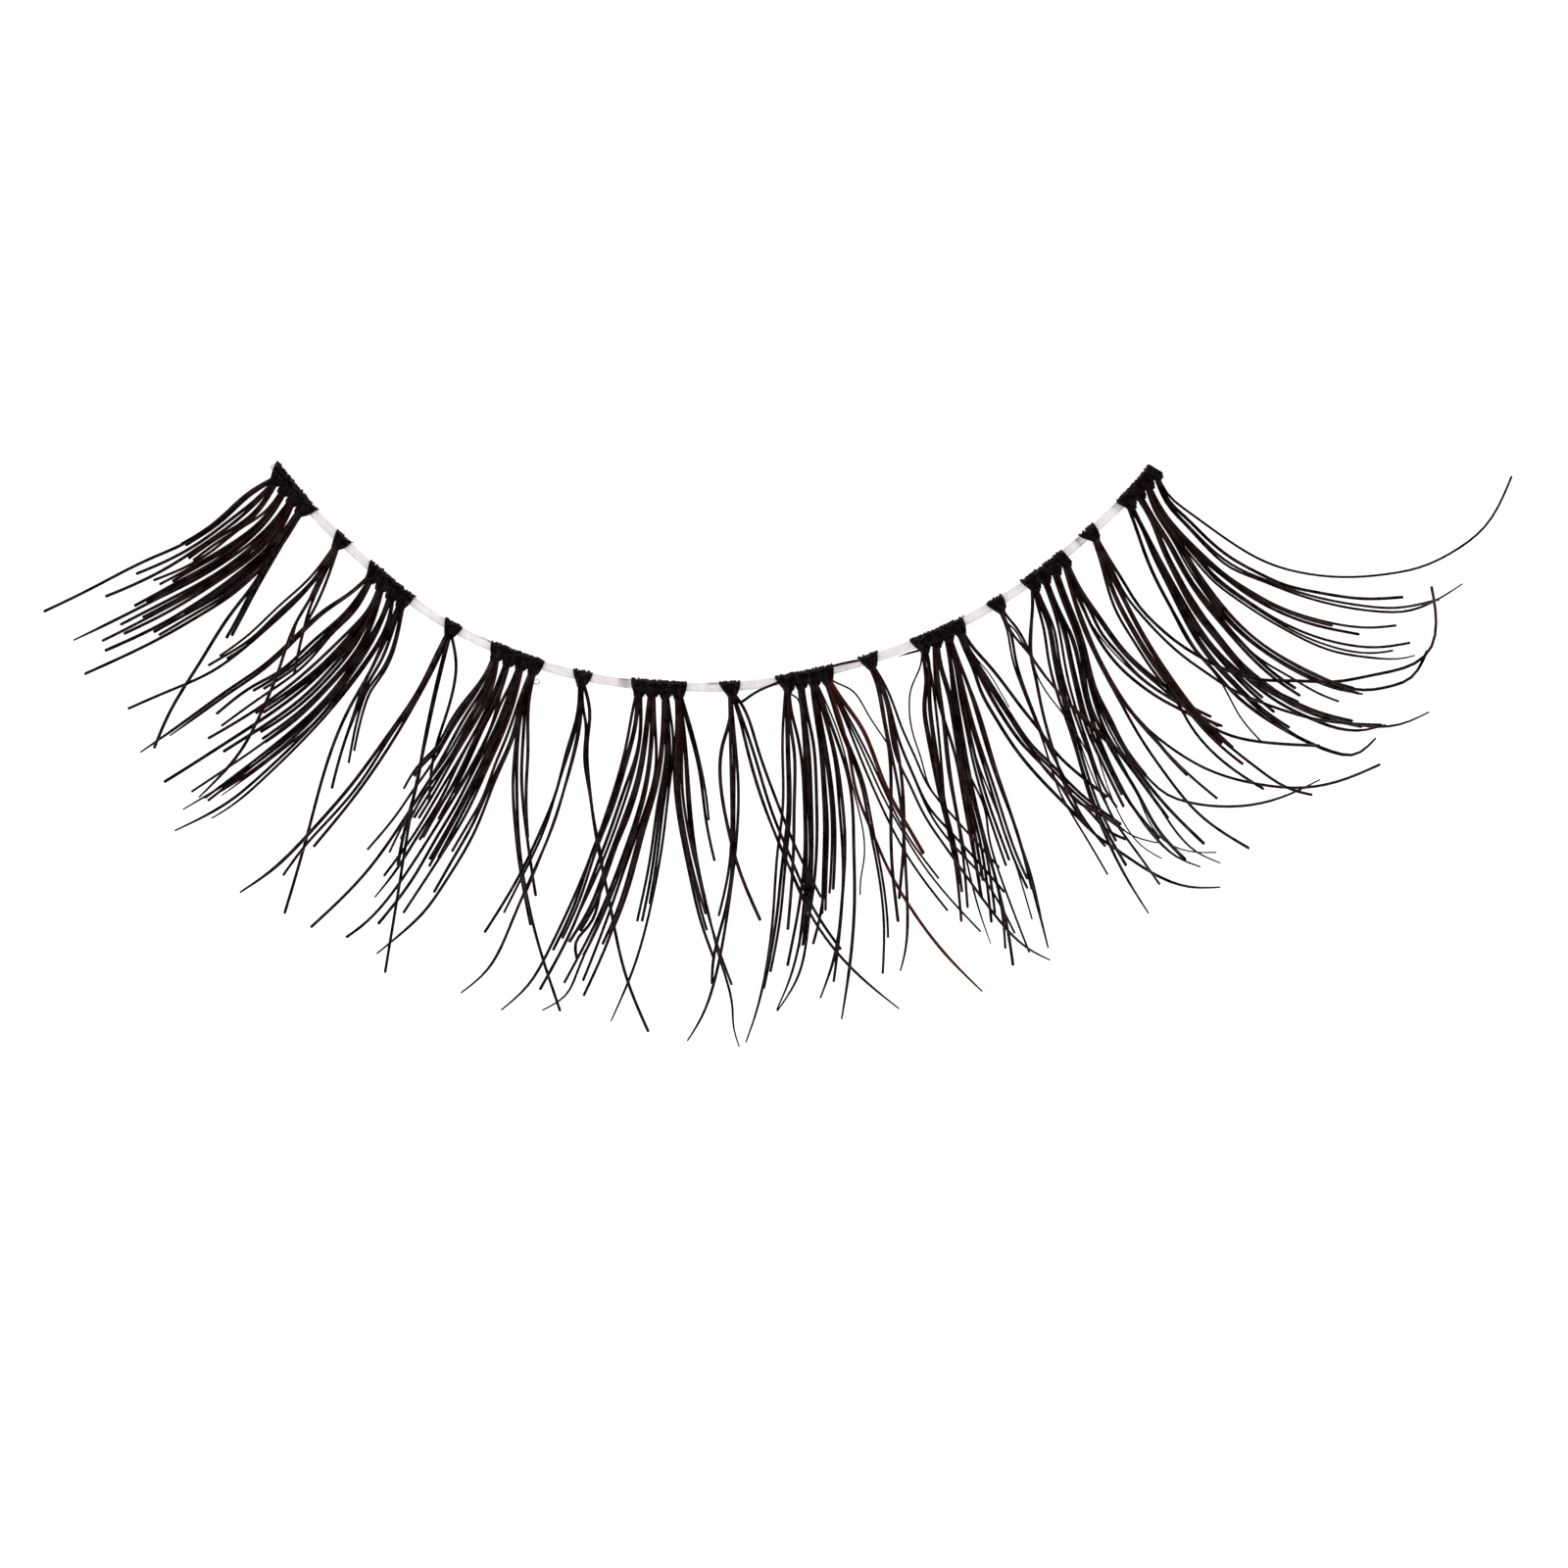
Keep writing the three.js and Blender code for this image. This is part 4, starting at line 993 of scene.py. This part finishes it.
def band_material():
    """Clear plastic, slightly milky, that hides what is under it as much as its tint's alpha says."""
    material, tree, inputs = tinted_material("clear_band", BAND_FINISH)
    tree.links.new(stored_tint(tree, "Alpha"), inputs["Alpha"])
    inputs["IOR"].default_value = BAND_IOR
    return material


def tint_towards(colour, rareness, rng):
    """A colour between black and the one given, mostly near black."""
    return np.array(BLACK) + (np.array(colour) - BLACK) * rng.random()**rareness


def knot_tint(rng):
    """A colour near black, with a little of the grey of set glue."""
    return tint_towards(GLUE_GREY, GREY_RARENESS, rng)


def in_order(along, locks):
    """The hairs of a tuft as (lock, part in its lock), from the one that leans furthest left."""
    root = on_band(along, ROOT_OUT, 0)[:2]
    outward = root - on_band(along, 0, 0)[:2]
    hairs = []
    for lock in locks:
        aim = unit(np.array(lock.route[0]) - root)
        lean = outward[0] * aim[1] - outward[1] * aim[0]
        for turn in range(lock.hairs):
            part = turn - (lock.hairs - 1) / 2
            hairs.append((lean + LOCK_LEAN * part, len(hairs), lock, part))
    return [(lock, part) for _, _, lock, part in sorted(hairs, key=lambda hair: hair[:2])]


def underside(share, lift, is_wisp):
    """How high the lowest hairs lie at each share of their length."""
    root_low = CUP_HEIGHT - NECK_HALF_HEIGHT
    if is_wisp:
        return root_low + lift * share**WISP_CURL
    fall = root_low * np.clip(1 - share / BELLY_AT, 0, 1)**2
    return fall + lift * np.clip((share - BELLY_AT) / (1 - BELLY_AT), 0, 1)**2


def add_hair(strands, along, place, lock, part, knot, neck, rng):
    """One hair of a lock, from inside its knot's cup to its tip. Its place is from -1, left, to 1, right."""
    root = along + place * neck.half_width * NECK_FILL
    layer = rng.random()
    path = spline([on_band(root, ROOT_OUT, 0)[:2], *lock.route], HAIR_STEPS)
    share = np.linspace(0, 1, HAIR_STEPS)
    heading = unit(np.gradient(path, axis=0))
    sideways = np.stack([-heading[:, 1], heading[:, 0]], axis=1)
    apart = (part * LOCK_SPREAD + rng.normal(0, LOCK_SCATTER)) * share**LOCK_PARTING
    wave = HAIR_WAVE * np.sin(share * rng.uniform(*HAIR_WAVE_PACES) + rng.uniform(*ANY_ANGLE)) * share
    path = path + sideways * (apart + wave)[:, None]
    is_longest = part == (1 - lock.hairs) / 2
    kept = 1 if is_longest else 1 - rng.random() * TIP_SCATTER
    path = np.stack([np.interp(share * kept, share, path[:, i]) for i in range(2)], axis=1)
    length = np.linalg.norm(np.diff(path, axis=0), axis=1).sum()
    radius = lock.width / 2 * HAIR_FULLNESS * rng.uniform(*HAIR_WIDTHS)
    lift = knot.lift * (min(length, LONGEST_LIFT) / LIFT_LENGTH)**2
    depth = np.interp(share, [0, TUFT_DEPTH_AT], [2 * NECK_HALF_HEIGHT, TUFT_DEPTH])
    height = underside(share, lift, knot.tufts == 1) + radius + layer * depth
    taper_from = FINE_FROM if lock.tip == FINE else 0
    thin = np.interp(share, [taper_from, 1], [1, lock.tip])
    tint = lock.tint or tint_towards(BROWN, BROWN_RARENESS, rng)
    strands.add_tube(np.column_stack([path, height]), radius * thin, HAIR_SIDES, tint)
    if lock.tint_from:
        strands.start_as(BLACK, lock.tint_from)


def cup_places(knot):
    """Where the knot's tufts sit along the band."""
    return [knot.along + CUP_PITCH * (i - (knot.tufts - 1) / 2) for i in range(knot.tufts)]


def add_loops(strands, along, left, right, neck, slant, rng):
    """Loops of thread round the band at one tuft, side by side on the lid side and drawn in at the neck."""
    middle = (LOOP_LID_OUT + neck.out) / 2
    turns = np.linspace(0, LOOP_TURNS * 2 * math.pi, int(LOOP_TURNS * LOOP_STEPS))
    for i in range(LOOPS):
        side = 2 * (i + 0.5) / LOOPS - 1 + rng.normal(0, LOOP_SCATTER)
        angle = turns + rng.uniform(*ANY_ANGLE)
        uneven = 1 + ripple(LOOP_WAVES, angle, rng.uniform(*ANY_ANGLE)) + rng.normal(0, LOOP_SCATTER)
        out = middle + (middle - LOOP_LID_OUT) * uneven * np.cos(angle)
        height = BAND_MIDDLE_Z + LOOP_HALF_HEIGHT * np.clip(uneven, 0, LOOP_HIGHEST) * np.sin(angle)
        edge = right if side > 0 else left
        drawn = np.interp(out, [edge.drawn_from, neck.out], [0, 1])**BOWL
        reach = edge.reach + (neck.half_width - edge.reach) * drawn
        place = along + side * reach + slant * LOOP_SLANT * np.cos(angle)
        radius = LOOP_STRAND * rng.uniform(*LOOP_WIDTHS)
        radii = radius * (1 + ripple(LOOP_SWELL, angle, rng.uniform(*ANY_ANGLE)))
        strands.add_tube(on_band(place, out, height), radii, LOOP_SIDES, knot_tint(rng))


def add_cup(strands, along, reach, neck, rng):
    """The gathered strands of one tuft, on a core, with a collar wound round them."""
    end = neck.out + CUP_ROUNDING
    share = np.linspace(0, 1, CUP_LEVELS)
    levels = CUP_LID_OUT + (end - CUP_LID_OUT) * share
    drawn = np.interp(levels, [LID_OUT, neck.out], [0, 1])**BOWL
    past = np.interp(levels, [neck.out, end], [1, NECK_FILL])
    inside = reach - LOOP_STRAND
    half_width = (inside + (neck.half_width - inside) * drawn) * past
    shares = [section.share for section in CUP_SECTIONS]
    half_height = np.interp(share, shares, [section.half_height for section in CUP_SECTIONS])

    turn = np.arange(CUP_SIDES) * 2 * math.pi / CUP_SIDES
    rings = np.array([
        on_band(along + wide * np.cos(turn), out, CUP_HEIGHT + high * np.sin(turn))
        for out, wide, high in zip(levels, half_width, half_height)
    ])
    ends = [on_band(along, levels[0], CUP_HEIGHT), on_band(along, levels[-1], CUP_HEIGHT)]
    strands.add_rings(rings, ends, BLACK)

    for i in range(CUP_STRANDS):
        first = (i + rng.uniform(*CUP_STRAND_PLACES)) / CUP_STRANDS * 2 * math.pi
        angle = first + (levels - CUP_LID_OUT) * rng.uniform(*CUP_STRAND_TWIST)
        path = on_band(along + half_width * np.cos(angle), levels, CUP_HEIGHT + half_height * np.sin(angle))
        radii = np.full(len(levels), CUP_STRAND * rng.uniform(*CUP_STRAND_WIDTHS))
        strands.add_tube(path, radii, CUP_STRAND_SIDES, knot_tint(rng))

    share = np.linspace(0, 1, int(COLLAR_TURNS * COLLAR_STEPS))
    angle = share * COLLAR_TURNS * 2 * math.pi + rng.uniform(*ANY_ANGLE)
    out = neck.out + np.interp(share, [0, 1], COLLAR_OUT) + ripple(COLLAR_WAVES, angle)
    wide = np.interp(out, levels, half_width) + CUP_STRAND * COLLAR_SEAT
    high = np.interp(out, levels, half_height) + CUP_STRAND * COLLAR_SEAT
    path = on_band(along + wide * np.cos(angle), out, CUP_HEIGHT + high * np.sin(angle))
    strands.add_tube(path, np.full(len(share), COLLAR_STRAND), COLLAR_SIDES, knot_tint(rng))


def add_lashing(strands, knot, rng):
    """Two threads twisted together along the top of the knot's winding, with their ends sunk into it."""
    places = cup_places(knot)
    past = knot.reach * LASH_REACH
    along = np.linspace(places[0] - past, places[-1] + past, LASH_STEPS * (knot.tufts + 1))
    top = BAND_MIDDLE_Z + LOOP_HALF_HEIGHT + LOOP_STRAND / 2
    start = rng.uniform(*ANY_ANGLE)
    for phase in (start, start + math.pi):
        turn = along * LASH_TWIST + phase
        out = LASH_OUT + LASH_HALF_OUT * np.cos(turn) + ripple(LASH_WAVES, along, phase)
        height = top + LASH_STRAND * (1 + LASH_RISE * np.sin(turn))
        height[[0, -1]] -= 2 * LOOP_STRAND
        strands.add_tube(on_band(along, out, height), np.full(len(along), LASH_STRAND), LASH_SIDES, BLACK)


def add_cut_ends(strands, knot, rng):
    """Short cut ends that stand out of the knot's winding on the lid side."""
    places = cup_places(knot)
    share = np.linspace(0, 1, CUT_END_STEPS)
    radii = CUT_END_RADIUS * np.linspace(1, CUT_END_TAPER, CUT_END_STEPS)
    for along in rng.uniform(places[0] - knot.reach, places[-1] + knot.reach, CUT_ENDS * knot.tufts):
        out = LID_OUT + CUT_END_ROOT - rng.uniform(*CUT_END_LENGTHS) * share
        height = BAND_MIDDLE_Z + rng.uniform(*CUT_END_HEIGHTS) + rng.uniform(*CUT_END_TILTS) * share
        path = on_band(along + rng.normal(0, CUT_END_SPLAY) * share, out, height)
        strands.add_tube(path, radii, CUT_END_SIDES, knot_tint(rng))


def add_stray(strands, stray):
    """A loose end of thread, tapered to its tip."""
    path = spline(stray.route, STRAY_STEPS)
    height = np.full(STRAY_STEPS, stray.height)
    shares = [taper.share for taper in STRAY_TAPER]
    thin = np.interp(np.linspace(0, 1, STRAY_STEPS), shares, [taper.width for taper in STRAY_TAPER])
    strands.add_tube(np.column_stack([path, height]), stray.width / 2 * thin, STRAY_SIDES, BLACK)


def band_tints(out, places, rng):
    """Colour and cover of the strip at each place along it and each point across it."""
    # Towards each edge the clear colour turns darker: painted shade where the curved edges bend the light
    edge = np.interp(np.abs(out), PAINTED_EDGE_SHADE_SPAN, [0, 1])[:, None]
    colours = np.array(BAND_CLEAR) * (1 - edge) + np.array(PAINTED_EDGE_SHADE) * edge
    lid_side = np.interp(-out, LID_SIDE_SPAN, [0, 1])
    glue = ripple(GLUE_WAVES, places) + rng.normal(*GLUE_SCATTER, len(places))
    line = np.clip(glue, 0, GLUE_MOST)[:, None] * lid_side
    spots = np.zeros(len(places))
    for smudge in SMUDGES:
        away = np.abs(places - smudge.along) / smudge.half_length
        spots += smudge.strength * np.clip(SMUDGE_END - away, 0, 1)
    spots *= rng.uniform(*SMUDGE_SPECKLE, len(places))
    dark = np.maximum(line, spots[:, None] * np.clip(SMUDGE_HAIR_SIDE + lid_side, 0, 1))[:, :, None]
    rows = rng.normal(0, BAND_STREAK, (len(out), len(places) + STREAK_STEPS - 1))
    mean = np.full(STREAK_STEPS, 1 / STREAK_STEPS)
    streaks = np.array([np.convolve(row, mean, "valid") for row in rows]).T[:, :, None]
    tints = colours * (1 + streaks) * (1 - dark) + np.array(BAND_SMUDGE) * dark
    cover = BAND_COVER * (1 + COVER_STREAK * streaks) * (1 - dark) + dark
    return np.concatenate([tints, cover], axis=2)


def add_band(strands, rng):
    """The band: a strip with a bead along each edge, a little uneven in width and height."""
    half_top = [(rim.out, rim.up) for rim in BAND_HALF_TOP]
    top = half_top + [(-out, up) for out, up in reversed(half_top[:-1])]
    under = [(out, -up) for out, up in reversed(top[1:-1])]
    across, up = np.array(top + under).T
    half = BAND_RADIUS * BAND_HALF_ANGLE
    places = np.linspace(BAND_TRIM[0] - half, half - BAND_TRIM[1], BAND_STEPS)
    rings = []
    for along in places:
        wide = 1 + ripple(BAND_WIDTH_WAVES, along) + rng.normal(0, BAND_WIDTH_SCATTER)
        high = 1 + ripple(BAND_HEIGHT_WAVES, along) + rng.normal(0, BAND_HEIGHT_SCATTER)
        rings.append(on_band(along, across * wide, BAND_MIDDLE_Z + up * high))
    tips = (places[0] - BAND_END_BULGE, places[-1] + BAND_END_BULGE)
    strands.add_rings(np.array(rings), [on_band(tip, 0, BAND_MIDDLE_Z) for tip in tips], BAND_CLEAR)
    strands.tints[-1][:-len(tips)] = band_tints(across, places, rng).reshape(-1, 4)


def make_winding(knot, neck, rng):
    """One knot: loops and a cup for each of its tufts, the lashing, cut ends and stray ends."""
    winding = Strands()
    slant = rng.uniform(*LOOP_SLANTS)
    outer = Edge(knot.reach, LID_OUT)
    inner = Edge(CUP_PITCH / 2 + LOOP_STRAND / 2, BAR_OUT)
    for i, along in enumerate(cup_places(knot)):
        left = outer if i == 0 else inner
        right = outer if i == knot.tufts - 1 else inner
        add_loops(winding, along, left, right, neck, slant, rng)
        add_cup(winding, along, min(left.reach, right.reach), neck, rng)
    add_lashing(winding, knot, rng)
    add_cut_ends(winding, knot, rng)
    for stray in STRAYS:
        if stray.knot == knot.name:
            add_stray(winding, stray)
    winding.piece(knot.name + "_winding", knot.name + "_knot", "knot_thread", KNOT)


def make_tufts(knot, neck, rng):
    """The knot's tufts, the hairs of each side by side across its neck in the order that they lean."""
    for i, along in enumerate(cup_places(knot)):
        node = knot.name + ("_tuft" if knot.tufts == 1 else "_tuft_%d" % (i + 1))
        hairs = Strands()
        order = in_order(along, LOCKS[node])
        for place, (lock, part) in enumerate(order):
            across = 2 * (place + 0.5) / len(order) - 1
            add_hair(hairs, along, across, lock, part, knot, neck, rng)
        hairs.piece(node + "_hairs", node, "hair", HAIR)


# The pieces
BAND_FRAME = band_frame()
HAIR = thread_material("hair", HAIR_FINISH)
KNOT = thread_material("knot_thread", KNOT_FINISH)
BAND = band_material()

rng = np.random.default_rng(SEED)
strip = Strands()
add_band(strip, rng)
strip.piece("band_strip", "band", "clear_band", BAND)
for knot in KNOTS:
    neck = WISP_NECK if knot.tufts == 1 else CLUSTER_NECK
    make_winding(knot, neck, rng)
    make_tufts(knot, neck, rng)

# Floor
floor_mesh = bpy.data.meshes.new("floor")
corners = [(FLOOR_HALF_SIZE * x, FLOOR_HALF_SIZE * y, 0) for x, y in [(-1, -1), (1, -1), (1, 1), (-1, 1)]]
floor_mesh.from_pydata(corners, [], [(0, 1, 2, 3)])
floor_material, _, floor_inputs = new_material("floor")
floor_inputs["Base Color"].default_value = FLOOR_GREY
floor_inputs["Roughness"].default_value = FLOOR_ROUGHNESS
floor_inputs["Specular IOR Level"].default_value = FLOOR_SPECULAR
floor_inputs["Emission Color"].default_value = WHITE
floor_inputs["Emission Strength"].default_value = FLOOR_GLOW
floor_mesh.materials.append(floor_material)
floor = bpy.data.objects.new("floor", floor_mesh)
bpy.context.scene.collection.objects.link(floor)

# Light: white from all round, and a soft lamp on the left of the lid side
world = bpy.data.worlds.new("studio")
world.use_nodes = True
sky = world.node_tree.nodes["Background"].inputs
sky["Color"].default_value = WHITE
sky["Strength"].default_value = SKY_STRENGTH
bpy.context.scene.world = world

softbox = bpy.data.lights.new("softbox", "AREA")
softbox.shape = "DISK"
softbox.size = LAMP_SIZE
softbox.energy = LAMP_POWER
lamp = bpy.data.objects.new("softbox", softbox)
lamp.location = LAMP_PLACE
lamp.rotation_mode = "QUATERNION"
lamp.rotation_quaternion = (-lamp.location).to_track_quat("-Z", "Y")
bpy.context.scene.collection.objects.link(lamp)

# Camera: straight down from far off, as in the photograph
centre = (np.array([*PHOTO_CENTRE, 0]) + BAND_FRAME) * MM
camera = bpy.data.cameras.new("camera")
camera.lens = LENS
camera.sensor_width = SENSOR
camera.clip_start, camera.clip_end = CLIP
eye = bpy.data.objects.new("camera", camera)
eye.location = (centre[0], centre[1], PHOTO_WIDTH * MM * LENS / SENSOR)
bpy.context.scene.collection.objects.link(eye)
bpy.context.scene.camera = eye
bpy.context.scene.view_settings.view_transform = "Standard"
